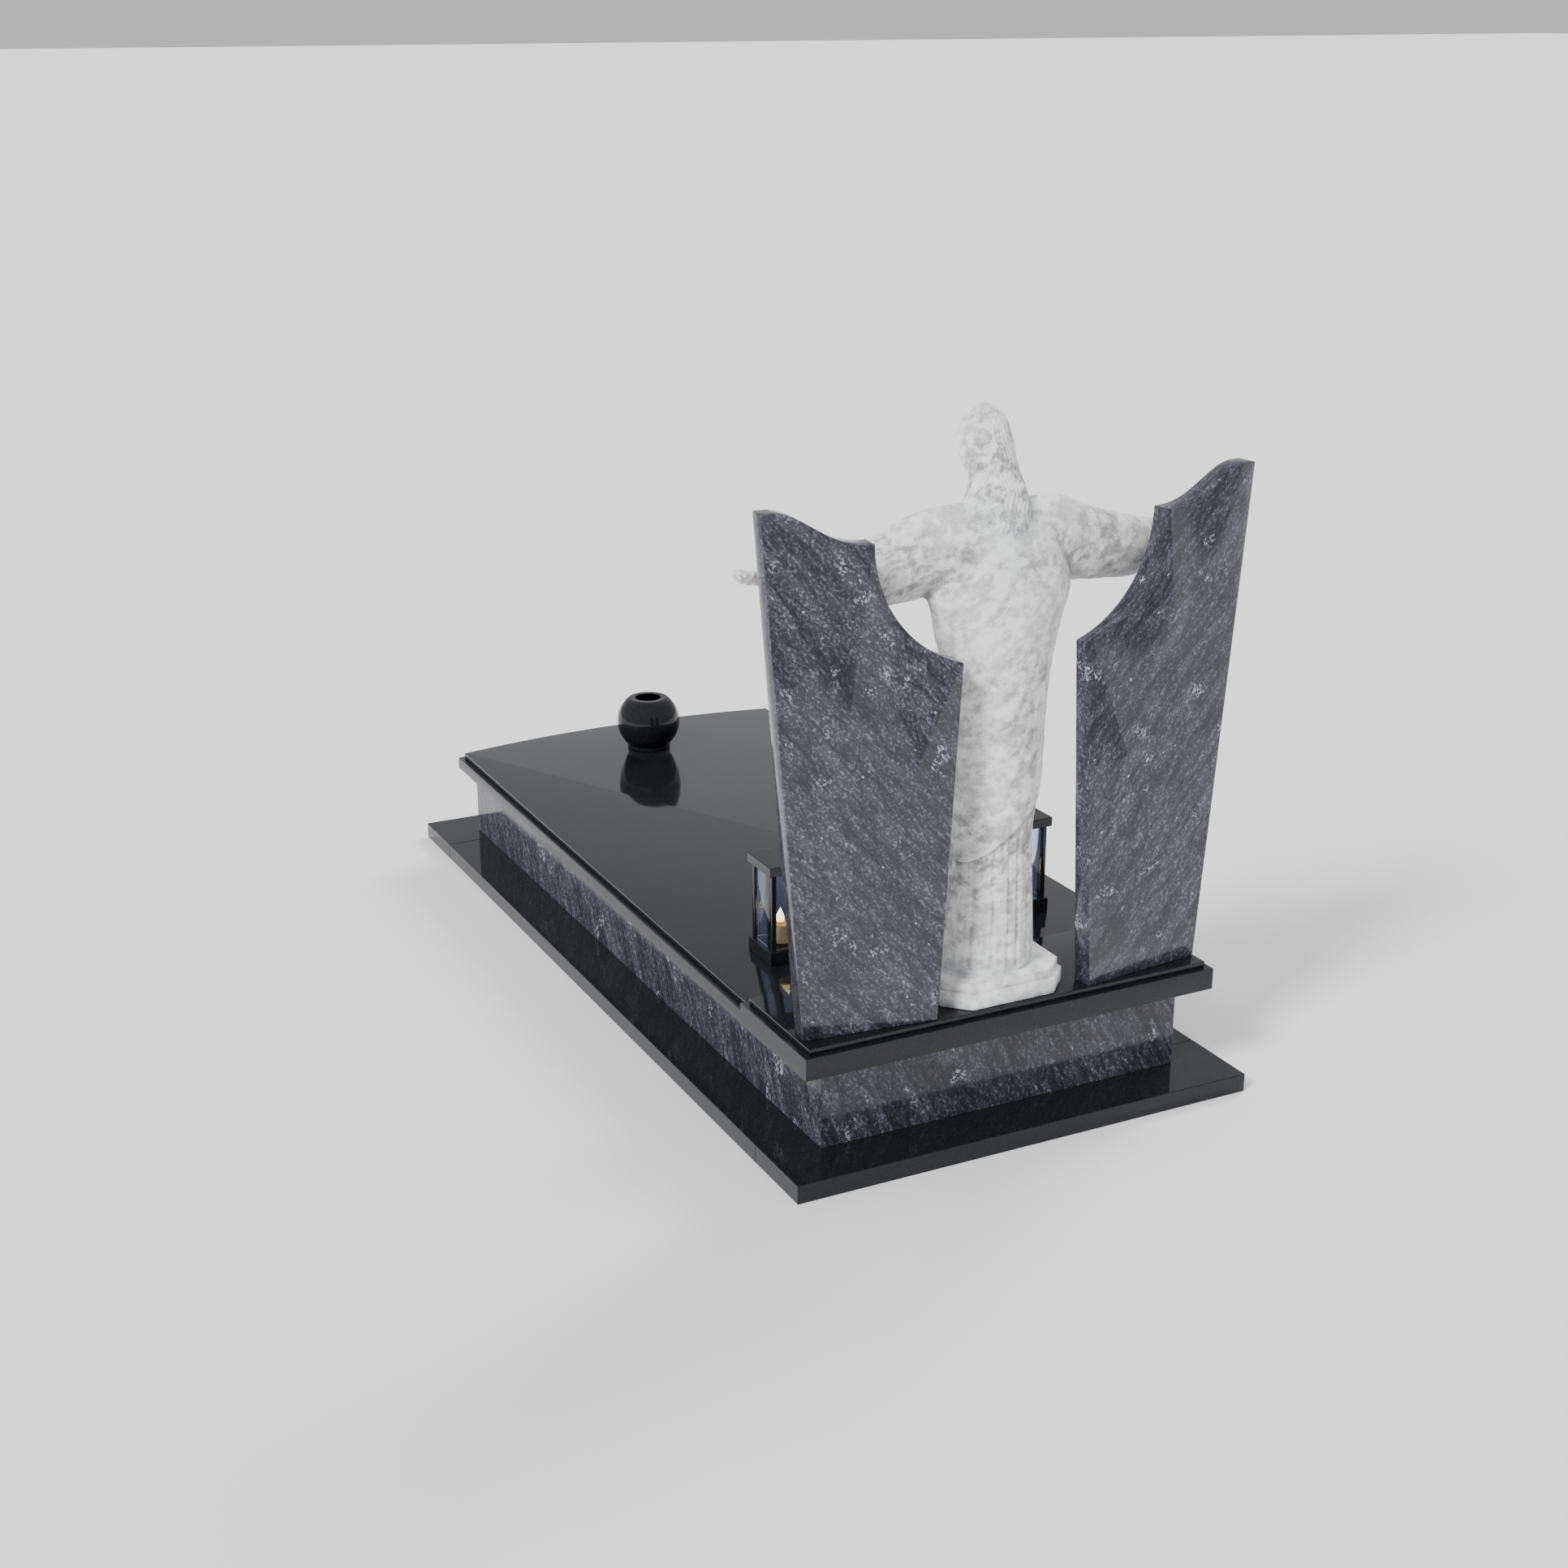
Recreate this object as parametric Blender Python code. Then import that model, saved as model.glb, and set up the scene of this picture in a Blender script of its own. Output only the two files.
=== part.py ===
# A single granite grave with a pair of tablets and a marble statue of Christ at its head end.
# Metres, +Z up. The origin is the centre of the underside; the foot end is at -Y, the head end at +Y.
import math

import bmesh
import bpy
import numpy as np
from mathutils import Matrix, Vector

CLEARANCE = 0.0003
ARRIS_ANGLE = math.radians(35)
SHARP_ANGLE = math.radians(40)

BASE_WIDTH = 1.0
BASE_LENGTH = 2.112
BASE_THICKNESS = 0.038
BASE_SIDE_MARGIN = 0.103
BASE_END_MARGIN = 0.106
BASE_INNER_LEDGE = 0.0075
BASE_ARRIS = 0.0015

WALL_HEIGHT = 0.169
WALL_THICKNESS = 0.060

HEAD_SLAB_DEPTH = 0.274
HEAD_SLAB_REAR_OVERHANG = 0.044
HEAD_SLAB_SIDE_OVERHANG = 0.055
HEAD_SLAB_BAND = 0.045
HEAD_SLAB_LIP = 0.012
COVER_SIDE_SETBACK = 0.002
COVER_TAPER = 0.012
COVER_FOOT_OVERHANG = 0.012
COVER_FOOT_BOW = 0.046
COVER_BAND = 0.0285
COVER_LIP = 0.0135
COVER_BOW_STEPS = 20
LIP_INSET = 0.0125
GROOVE_HEIGHT = 0.002
GROOVE_DEPTH = 0.0015
SLAB_ARRIS = 0.0015

TABLET_THICKNESS = 0.043
TABLET_FOOT_WIDTH = 0.268
TABLET_HEIGHT = 0.982
TABLET_LEAN = 0.079
TABLET_PLINTH_GAP = 0.034
TABLET_REAR_SETBACK = 0.016
TABLET_TURN = math.radians(6.4)
CUT_HEIGHT = 0.687
CUT_LEAN = 0.034
SHOULDER_OFFSET = 0.139
SHOULDER_HEIGHT = 0.916
CREST_FLAT = 0.022
OGEE_SKEW = 1.25
TABLET_CURVE_STEPS = 12
TABLET_ARRIS = 0.0015

PLINTH_HALF = 0.134
PLINTH_CORNER = 0.044
PLINTH_LOWER = 0.031
PLINTH_UPPER = 0.019
PLINTH_STEP = 0.006
PLINTH_REAR_SETBACK = 0.019
PLINTH_ARRIS = 0.002

STATUE_HEIGHT = 1.116
STATUE_VOXEL = 0.0045
STATUE_TRIANGLES = 6200

VASE_RADIUS = 0.079
VASE_WALL = 0.010
VASE_FOOT_RADIUS = 0.054
VASE_FOOT_HEIGHT = 0.010
VASE_MOUTH_RADIUS = 0.050
VASE_FLOOR = 0.016
VASE_FROM_FOOT = 0.211
VASE_OFF_CENTRE = 0.017
VASE_STEPS = 9
VASE_SIDES = 28

LANTERN_FLOOR = 0.100
LANTERN_FLOOR_THICKNESS = 0.030
LANTERN_ROOF = 0.104
LANTERN_ROOF_THICKNESS = 0.0195
LANTERN_POST = 0.010
LANTERN_POST_INSET = 0.0055
LANTERN_POST_HEIGHT = 0.160
LANTERN_GLASS = 0.003
LANTERN_SIDE_SETBACK = 0.126
LANTERN_FROM_HEAD_SLAB = 0.177
LANTERN_ARRIS = 0.001
CANDLE_RADIUS = 0.020
CANDLE_HEIGHT = 0.038
CANDLE_SIDES = 20

FRAME_WIDTH = BASE_WIDTH - 2 * BASE_SIDE_MARGIN
FRAME_LENGTH = BASE_LENGTH - 2 * BASE_END_MARGIN
BASE_SIDE_STRIP = BASE_SIDE_MARGIN + WALL_THICKNESS + BASE_INNER_LEDGE
BASE_END_STRIP = BASE_END_MARGIN + WALL_THICKNESS + BASE_INNER_LEDGE
WALL_FOOT = BASE_THICKNESS + CLEARANCE
SLAB_UNDERSIDE = WALL_FOOT + WALL_HEIGHT + CLEARANCE
ON_HEAD_SLAB = SLAB_UNDERSIDE + HEAD_SLAB_BAND + HEAD_SLAB_LIP + CLEARANCE
ON_COVER = SLAB_UNDERSIDE + COVER_BAND + COVER_LIP + CLEARANCE
HEAD_SLAB_WIDTH = FRAME_WIDTH + 2 * HEAD_SLAB_SIDE_OVERHANG
HEAD_REAR = FRAME_LENGTH / 2 + HEAD_SLAB_REAR_OVERHANG
HEAD_FRONT = HEAD_REAR - HEAD_SLAB_DEPTH
COVER_HEAD_WIDTH = HEAD_SLAB_WIDTH - 2 * COVER_SIDE_SETBACK
COVER_FOOT_WIDTH = COVER_HEAD_WIDTH - 2 * COVER_TAPER
COVER_HEAD = HEAD_FRONT - CLEARANCE
COVER_CORNER = -FRAME_LENGTH / 2 - COVER_FOOT_OVERHANG
COVER_FOOT = COVER_CORNER - COVER_FOOT_BOW
PLINTH_CENTRE = HEAD_REAR - PLINTH_REAR_SETBACK - PLINTH_HALF
LANTERN_FROM_MIDDLE = COVER_HEAD_WIDTH / 2 - LANTERN_SIDE_SETBACK - LANTERN_FLOOR / 2
TABLET_INNER_CORNER = PLINTH_HALF + TABLET_PLINTH_GAP

# Shares of the statue's height, plinth included. The soles stand at SOLE_LEVEL, on the plinth.
SOLE_LEVEL = 0.0448
# Level, shift to the left, shift rearward, half width and half depth of the robe.
ROBE = [
    (0.036, 0.000, 0.018, 0.086, 0.078),
    (0.090, 0.000, 0.023, 0.081, 0.074),
    (0.139, 0.000, 0.027, 0.076, 0.072),
    (0.210, 0.000, 0.029, 0.071, 0.070),
    (0.291, 0.000, 0.029, 0.069, 0.069),
    (0.363, 0.000, 0.029, 0.078, 0.072),
    (0.434, 0.001, 0.030, 0.082, 0.073),
    (0.502, 0.003, 0.031, 0.085, 0.075),
    (0.582, 0.004, 0.034, 0.092, 0.076),
    (0.658, 0.003, 0.036, 0.110, 0.074),
    (0.699, 0.000, 0.030, 0.125, 0.071),
    (0.743, 0.000, 0.021, 0.124, 0.068),
    (0.788, 0.000, 0.013, 0.113, 0.063),
    (0.820, 0.000, 0.007, 0.092, 0.054),
    (0.845, 0.000, 0.006, 0.058, 0.042),
    (0.862, 0.000, 0.006, 0.034, 0.032),
]
# Distance from the middle, level, rearward shift, half height and half depth of a sleeve.
SLEEVE = [
    (0.030, 0.784, 0.014, 0.052, 0.046),
    (0.080, 0.782, 0.012, 0.066, 0.049),
    (0.120, 0.772, 0.009, 0.067, 0.047),
    (0.161, 0.761, 0.006, 0.062, 0.042),
    (0.215, 0.748, 0.004, 0.054, 0.037),
    (0.269, 0.740, 0.002, 0.048, 0.033),
    (0.322, 0.735, -0.003, 0.041, 0.029),
    (0.372, 0.736, -0.008, 0.033, 0.026),
]
SLEEVE_UNDERSIDE_NARROWING = 0.18
# Level, shift to the left, shift rearward, half width and half depth of the long hair.
HAIR = [
    (0.815, 0.000, 0.034, 0.034, 0.020),
    (0.833, 0.000, 0.028, 0.047, 0.030),
    (0.851, 0.000, 0.021, 0.049, 0.038),
    (0.869, 0.000, 0.014, 0.045, 0.042),
    (0.891, 0.000, 0.004, 0.042, 0.043),
    (0.914, 0.000, -0.008, 0.041, 0.043),
    (0.940, 0.000, -0.018, 0.040, 0.043),
    (0.967, 0.000, -0.028, 0.034, 0.038),
]
HEAD_CENTRE = (0.0, -0.027, 0.9385)
HEAD_BOW = math.radians(25)
# Centre and half sizes of the parts of the upright head: skull, jaw, beard, nose and brow.
HEAD_PARTS = [
    ((0.0, 0.004, 0.011), (0.0385, 0.046, 0.0475)),
    ((0.0, -0.013, -0.016), (0.029, 0.030, 0.040)),
    ((0.0, -0.026, -0.044), (0.020, 0.017, 0.028)),
    ((0.0, -0.0415, -0.006), (0.0055, 0.009, 0.014)),
    ((0.0, -0.036, 0.013), (0.024, 0.010, 0.008)),
]
# Centre and half sizes of the hair beside one cheek.
CHEEK_HAIR = ((0.036, 0.000, -0.012), (0.013, 0.022, 0.046))
NECK_FOOT = (0.0, 0.012, 0.83)
NECK_FOOT_RADIUS = 0.030
NECK_TOP = (0.0, 0.006, -0.01)
NECK_TOP_RADIUS = 0.028
WRIST = (0.366, -0.009, 0.756)
WRIST_RADIUS = 0.0115
FOREARM_REACH = 0.050
FOREARM_RADIUS = 0.014
HAND_TURN = math.radians(35)
PALM_LENGTH = 0.0502
PALM_START = 0.012
PALM_RIDGES = (-0.012, -0.004, 0.004, 0.012)
PALM_NARROWING = 0.7
PALM_SPREAD = 1.15
PALM_CUP = 0.002
PALM_RADII = (0.0085, 0.0070)
# Place across the knuckles and length of each finger.
FINGERS = [(-0.0145, 0.0386), (-0.0050, 0.0454), (0.0048, 0.0463), (0.0142, 0.0405)]
FINGER_SPREAD = 1.25
FINGER_RADII = (0.0062, 0.0044)
# Ends of the thumb: out from the wrist, across the palm and off its back.
THUMB_ENDS = ((0.020, -0.012, -0.004), (0.050, -0.029, -0.008))
THUMB_RADII = (0.0075, 0.0050)
# Heel and toes of the left foot.
FOOT_ENDS = ((0.026, -0.030, 0.058), (0.033, -0.076, 0.052))
FOOT_RADII = (0.020, 0.0115)

# Carving of the cloth, as shares of the statue's height. A pair is where a zone fades in.
NECK_ZONE = (0.80, 0.835)
FOOT_ZONE = (0.060, 0.075)
SLEEVE_ZONE_OUT = (0.115, 0.150)
SLEEVE_ZONE_UP = (0.60, 0.66)
CUFF_ZONE = (0.366, 0.371)
MANTLE_HEM = 0.300
MANTLE_HEM_SLOPE = 0.060
MANTLE_HEM_EDGE = 0.003
MANTLE_RELIEF = 0.0048
PLEAT_COUNT = 17
PLEAT_RELIEF = 0.0046
PLEAT_WANDER = 0.35
PLEAT_TWIST = 0.8
PLEAT_FADE = 0.45
PLEAT_FADE_ZONE = (0.12, 0.30)
FOLD_SPACING = 0.058
FOLD_DROP = 0.150
FOLD_WAVE = 0.010
FOLD_RELIEF = 0.0036
SLEEVE_RELIEF = 0.0032
SLEEVE_FOLDS = 1.25
SLEEVE_SAG = 0.4
SLEEVE_SAG_OUT = 0.26
SLEEVE_SAG_REACH = 0.15
SLEEVE_DRIFT = 2.2


def clear_scene():
    for old in list(bpy.data.objects):
        bpy.data.objects.remove(old, do_unlink=True)


def make_material(name, colour, roughness, metallic=0.0, alpha=1.0):
    material = bpy.data.materials.new(name)
    material.use_nodes = True
    shader = material.node_tree.nodes["Principled BSDF"]
    shader.inputs["Base Color"].default_value = (*colour, 1.0)
    shader.inputs["Roughness"].default_value = roughness
    shader.inputs["Metallic"].default_value = metallic
    shader.inputs["Alpha"].default_value = alpha
    return material


def add_piece(name, mesh, material, location=(0.0, 0.0, 0.0), turn=0.0):
    piece = bpy.data.objects.new(name, mesh)
    bpy.context.scene.collection.objects.link(piece)
    piece.location = location
    piece.rotation_euler.z = turn
    if material is not None:
        mesh.materials.append(material)
    return piece


def bevel_edges(piece, width):
    bevel = piece.modifiers.new("arris", "BEVEL")
    bevel.width = width
    bevel.segments = 1
    bevel.limit_method = "ANGLE"
    bevel.angle_limit = ARRIS_ANGLE


def mesh_of(bm, name):
    bmesh.ops.recalc_face_normals(bm, faces=bm.faces)
    mesh = bpy.data.meshes.new(name)
    bm.to_mesh(mesh)
    bm.free()
    return mesh


def ring_loft(rings, name):
    """Closed body through rings of equally many points, capped at both ends."""
    bm = bmesh.new()
    loops = [[bm.verts.new(point) for point in ring] for ring in rings]
    for lower, upper in zip(loops, loops[1:]):
        for i in range(len(lower)):
            j = (i + 1) % len(lower)
            bm.faces.new((lower[i], lower[j], upper[j], upper[i]))
    bm.faces.new(reversed(loops[0]))
    bm.faces.new(loops[-1])
    return mesh_of(bm, name)


def prism(outline, height, name):
    return ring_loft([[(x, y, z) for x, y in outline] for z in (0.0, height)], name)


def box_mesh(size, name):
    bm = bmesh.new()
    bmesh.ops.create_cube(bm, size=1.0, matrix=Matrix.Diagonal((*size, 1.0)))
    return mesh_of(bm, name)


def build_base(material):
    half_width = BASE_WIDTH / 2
    half_length = BASE_LENGTH / 2
    side_length = BASE_LENGTH - 2 * (BASE_END_STRIP + CLEARANCE)
    strips = {
        "base_strip_head": (BASE_WIDTH, BASE_END_STRIP, 0.0, half_length - BASE_END_STRIP / 2),
        "base_strip_foot": (BASE_WIDTH, BASE_END_STRIP, 0.0, BASE_END_STRIP / 2 - half_length),
        "base_strip_left": (BASE_SIDE_STRIP, side_length, half_width - BASE_SIDE_STRIP / 2, 0.0),
        "base_strip_right": (BASE_SIDE_STRIP, side_length, BASE_SIDE_STRIP / 2 - half_width, 0.0),
    }
    for name, (width, length, x, y) in strips.items():
        mesh = box_mesh((width, length, BASE_THICKNESS), name)
        strip = add_piece(name, mesh, material, (x, y, BASE_THICKNESS / 2))
        bevel_edges(strip, BASE_ARRIS)


def mitred_wall(length):
    """Plan of a wall whose outer face lies on y = 0 and whose ends are mitred."""
    outer = length / 2 - CLEARANCE
    inner = outer - WALL_THICKNESS
    return [(-outer, 0.0), (-inner, WALL_THICKNESS), (inner, WALL_THICKNESS), (outer, 0.0)]


def build_frame(material):
    walls = {
        "frame_wall_foot": (FRAME_WIDTH, (0.0, -FRAME_LENGTH / 2), 0.0),
        "frame_wall_head": (FRAME_WIDTH, (0.0, FRAME_LENGTH / 2), math.pi),
        "frame_wall_left": (FRAME_LENGTH, (FRAME_WIDTH / 2, 0.0), math.pi / 2),
        "frame_wall_right": (FRAME_LENGTH, (-FRAME_WIDTH / 2, 0.0), -math.pi / 2),
    }
    for name, (length, (x, y), turn) in walls.items():
        mesh = prism(mitred_wall(length), WALL_HEIGHT, name)
        add_piece(name, mesh, material, (x, y, WALL_FOOT), turn)


def head_slab_outline(inset):
    half = HEAD_SLAB_WIDTH / 2 - inset
    front = HEAD_FRONT + inset
    rear = HEAD_REAR - inset
    return [(-half, front), (half, front), (half, rear), (-half, rear)]


def cover_outline(inset):
    """Plan of the cover: it meets the head slab square, narrows a little and ends in a shallow bow."""
    head_half = COVER_HEAD_WIDTH / 2 - inset
    foot_half = COVER_FOOT_WIDTH / 2 - inset
    corner = COVER_CORNER + inset
    outline = [(head_half, COVER_HEAD), (-head_half, COVER_HEAD)]
    for i in range(COVER_BOW_STEPS + 1):
        across = 2 * i / COVER_BOW_STEPS - 1
        outline.append((foot_half * across, corner - COVER_FOOT_BOW * (1 - across * across)))
    return outline


def stepped_slab(outline, band, lip, name):
    """Slab with a plain band, a fine groove and a lip set back above it."""
    band_top = SLAB_UNDERSIDE + band
    top = band_top + lip
    levels = [
        (SLAB_ARRIS, SLAB_UNDERSIDE),
        (0.0, SLAB_UNDERSIDE + SLAB_ARRIS),
        (0.0, band_top - SLAB_ARRIS),
        (SLAB_ARRIS, band_top),
        (LIP_INSET + GROOVE_DEPTH, band_top),
        (LIP_INSET + GROOVE_DEPTH, band_top + GROOVE_HEIGHT),
        (LIP_INSET, band_top + GROOVE_HEIGHT),
        (LIP_INSET, top - SLAB_ARRIS),
        (LIP_INSET + SLAB_ARRIS, top),
    ]
    return ring_loft([[(x, y, z) for x, y in outline(inset)] for inset, z in levels], name)


def build_slabs(material):
    head = stepped_slab(head_slab_outline, HEAD_SLAB_BAND, HEAD_SLAB_LIP, "head_slab")
    add_piece("head_slab", head, material)
    cover = stepped_slab(cover_outline, COVER_BAND, COVER_LIP, "cover_slab")
    add_piece("cover_slab", cover, material)


def tablet_outline():
    """Face of the left tablet: from the inner foot corner outward and up, counted from that corner."""
    steps = TABLET_CURVE_STEPS
    top_outer = TABLET_FOOT_WIDTH + TABLET_LEAN
    points = [(0.0, 0.0), (TABLET_FOOT_WIDTH, 0.0), (top_outer, TABLET_HEIGHT)]
    crest = top_outer - CREST_FLAT
    rise = TABLET_HEIGHT - SHOULDER_HEIGHT
    for i in range(steps + 1):
        share = 1 - i / steps
        across = SHOULDER_OFFSET + (crest - SHOULDER_OFFSET) * share
        swell = (1 - math.cos(math.pi * share**OGEE_SKEW)) / 2
        points.append((across, SHOULDER_HEIGHT + rise * swell))
    reach = SHOULDER_OFFSET + CUT_LEAN
    drop = SHOULDER_HEIGHT - CUT_HEIGHT
    radius = (reach * reach + drop * drop) / (2 * reach)
    sweep = math.atan2(drop, radius - reach)
    for i in range(1, steps + 1):
        angle = sweep * i / steps
        x = SHOULDER_OFFSET - radius * (1 - math.cos(angle))
        points.append((x, SHOULDER_HEIGHT - radius * math.sin(angle)))
    return points


def build_tablets(material):
    corner = (TABLET_INNER_CORNER, HEAD_REAR - TABLET_REAR_SETBACK)
    for name, side in (("tablet_left", 1), ("tablet_right", -1)):
        outline = tablet_outline()
        rings = [[(side * x, y, z) for x, z in outline] for y in (-TABLET_THICKNESS, 0.0)]
        mesh = ring_loft(rings, name)
        place = (side * corner[0], corner[1], ON_HEAD_SLAB)
        tablet = add_piece(name, mesh, material, place, -side * TABLET_TURN)
        bevel_edges(tablet, TABLET_ARRIS)


def smooth_through(stations, at):
    """Values of the stations' columns at the given keys, on a smooth curve through them."""
    table = np.array(stations)
    keys = table[:, 0]
    values = table[:, 1:]
    slopes = np.gradient(values, keys, axis=0)
    at = np.clip(at, keys[0], keys[-1])
    i = np.clip(np.searchsorted(keys, at) - 1, 0, len(keys) - 2)
    span = (keys[i + 1] - keys[i])[:, None]
    t = (at - keys[i])[:, None] / span
    start = (2 * t**3 - 3 * t**2 + 1) * values[i] + (t**3 - 2 * t**2 + t) * span * slopes[i]
    end = (3 * t**2 - 2 * t**3) * values[i + 1] + (t**3 - t**2) * span * slopes[i + 1]
    return start + end


def ridge(turns):
    """Rounded folds with narrow valleys, one for each whole turn."""
    return np.abs(np.sin(np.pi * turns)) ** 0.75 - 0.5


def step_up(value, start, end):
    share = np.clip((value - start) / (end - start), 0.0, 1.0)
    return share * share * (3 - 2 * share)


def upright_body(stations, name, count=48, levels=60):
    """Loft with upright axis through the stations of ROBE or HAIR."""
    at = np.linspace(stations[0][0], stations[-1][0], levels)
    angles = np.linspace(0, 2 * math.pi, count, endpoint=False)
    rings = []
    for level, (left, rear, half_width, half_depth) in zip(at, smooth_through(stations, at)):
        ring = [(left + half_width * math.cos(a), rear + half_depth * math.sin(a), level) for a in angles]
        rings.append(ring)
    return ring_loft(rings, name)


def sleeve_body(side, name, count=40, levels=44):
    at = np.linspace(SLEEVE[0][0], SLEEVE[-1][0], levels)
    angles = np.linspace(0, 2 * math.pi, count, endpoint=False)
    rings = []
    for out, (level, shift, half_height, half_depth) in zip(at, smooth_through(SLEEVE, at)):
        ring = []
        for a in angles:
            narrow = 1 - SLEEVE_UNDERSIDE_NARROWING * max(0.0, -math.sin(a))
            y = shift + half_depth * narrow * math.cos(a)
            ring.append((side * out, y, level + half_height * math.sin(a)))
        rings.append(ring)
    return ring_loft(rings, name)


def add_ball(bm, centre, half_sizes):
    """Ellipsoid turned with the bowed head."""
    bow = Matrix.Rotation(HEAD_BOW, 4, "X")
    matrix = Matrix.Translation(centre) @ bow @ Matrix.Diagonal((*half_sizes, 1.0))
    bmesh.ops.create_uvsphere(bm, u_segments=28, v_segments=18, radius=1.0, matrix=matrix)


def add_limb(bm, start, end, start_radius, end_radius):
    """Tapered round limb with a ball at each end."""
    start = Vector(start)
    end = Vector(end)
    along = end - start
    matrix = Matrix.Translation((start + end) / 2) @ along.to_track_quat("Z", "Y").to_matrix().to_4x4()
    bmesh.ops.create_cone(
        bm,
        cap_ends=True,
        segments=16,
        radius1=start_radius,
        radius2=end_radius,
        depth=along.length,
        matrix=matrix,
    )
    for place, radius in ((start, start_radius), (end, end_radius)):
        bmesh.ops.create_icosphere(bm, subdivisions=2, radius=radius, matrix=Matrix.Translation(place))


def head_point(x, y, z):
    """A point of the upright head, -Y forward, at its place on the bowed head."""
    return Matrix.Rotation(HEAD_BOW, 3, "X") @ Vector((x, y, z)) + Vector(HEAD_CENTRE)


def add_head(bm):
    for place, half_sizes in HEAD_PARTS:
        add_ball(bm, head_point(*place), half_sizes)
    (x, y, z), half_sizes = CHEEK_HAIR
    for side in (1, -1):
        add_ball(bm, head_point(side * x, y, z), half_sizes)
    add_limb(bm, NECK_FOOT, head_point(*NECK_TOP), NECK_FOOT_RADIUS, NECK_TOP_RADIUS)


def hand_point(side, out, across, off):
    """A point of the hand: out from the wrist, across the palm and off its back."""
    y = across * math.cos(HAND_TURN) - off * math.sin(HAND_TURN)
    z = across * math.sin(HAND_TURN) + off * math.cos(HAND_TURN)
    return (side * (WRIST[0] + out), WRIST[1] + y, WRIST[2] + z)


def add_hand(bm, side):
    forearm = hand_point(side, -FOREARM_REACH, 0.0, 0.0)
    add_limb(bm, forearm, hand_point(side, PALM_START, 0.0, 0.0), FOREARM_RADIUS, WRIST_RADIUS)
    for across in PALM_RIDGES:
        start = hand_point(side, PALM_START, across * PALM_NARROWING, 0.0)
        end = hand_point(side, PALM_LENGTH, across * PALM_SPREAD, PALM_CUP)
        add_limb(bm, start, end, *PALM_RADII)
    for across, length in FINGERS:
        knuckle = hand_point(side, PALM_LENGTH, across, PALM_CUP)
        tip = hand_point(side, PALM_LENGTH + length, across * FINGER_SPREAD, -PALM_CUP / 2)
        add_limb(bm, knuckle, tip, *FINGER_RADII)
    root, tip = THUMB_ENDS
    add_limb(bm, hand_point(side, *root), hand_point(side, *tip), *THUMB_RADII)


def add_feet(bm):
    for side in (1, -1):
        heel, toe = ((side * x, y, z) for x, y, z in FOOT_ENDS)
        add_limb(bm, heel, toe, *FOOT_RADII)


def rough_statue():
    """All parts of the figure in shares of its height, overlapping, in one mesh."""
    bm = bmesh.new()
    lofts = [upright_body(ROBE, "robe"), upright_body(HAIR, "hair")]
    lofts += [sleeve_body(side, "sleeve") for side in (1, -1)]
    for loft in lofts:
        bm.from_mesh(loft)
        bpy.data.meshes.remove(loft)
    add_head(bm)
    add_feet(bm)
    for side in (1, -1):
        add_hand(bm, side)
    return mesh_of(bm, "figure")


def carve(points, normals):
    """Moves the smooth figure's points, in shares, along their normals: pleats, folds and hems."""
    x, y, level = points.T
    out = np.abs(x)
    middle = smooth_through(ROBE, level)
    angle = np.arctan2(y - middle[:, 1], x - middle[:, 0])
    on_sleeve = step_up(out, *SLEEVE_ZONE_OUT) * step_up(level, *SLEEVE_ZONE_UP)
    below_neck = 1 - step_up(level, *NECK_ZONE)
    above_plinth = step_up(level, *FOOT_ZONE)

    hem = MANTLE_HEM - MANTLE_HEM_SLOPE * np.cos(angle)
    mantle = step_up(level, hem - MANTLE_HEM_EDGE, hem + MANTLE_HEM_EDGE)
    wander = PLEAT_WANDER * np.sin(3 * angle + 1.0) + PLEAT_TWIST * level
    fade = 1 - PLEAT_FADE * step_up(level, *PLEAT_FADE_ZONE)
    pleats = ridge(PLEAT_COUNT * angle / (2 * math.pi) + wander) * fade * above_plinth
    drape = level + FOLD_DROP * np.cos(angle) + FOLD_WAVE * np.sin(5 * angle)
    folds = ridge(drape / FOLD_SPACING) * (0.65 + 0.35 * np.sin(2 * angle + 9 * level))
    body = (1 - mantle) * pleats * PLEAT_RELIEF + mantle * (MANTLE_RELIEF + folds * FOLD_RELIEF)

    sleeve = smooth_through(SLEEVE, out)
    up = (level - sleeve[:, 0]) / sleeve[:, 2]
    sag = SLEEVE_SAG * ((out - SLEEVE_SAG_OUT) / SLEEVE_SAG_REACH) ** 2
    hanging = 0.45 + 0.55 * step_up(-up, -0.5, 0.6)
    sleeve_folds = ridge(SLEEVE_FOLDS * up + sag + SLEEVE_DRIFT * out) * hanging
    on_cloth = 1 - step_up(out, *CUFF_ZONE)
    arm = MANTLE_RELIEF + sleeve_folds * SLEEVE_RELIEF

    lift = below_neck * ((1 - on_sleeve) * body + on_sleeve * arm * on_cloth)
    return points + normals * lift[:, None]


def evaluated_mesh(piece):
    depsgraph = bpy.context.evaluated_depsgraph_get()
    return bpy.data.meshes.new_from_object(piece.evaluated_get(depsgraph))


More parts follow.
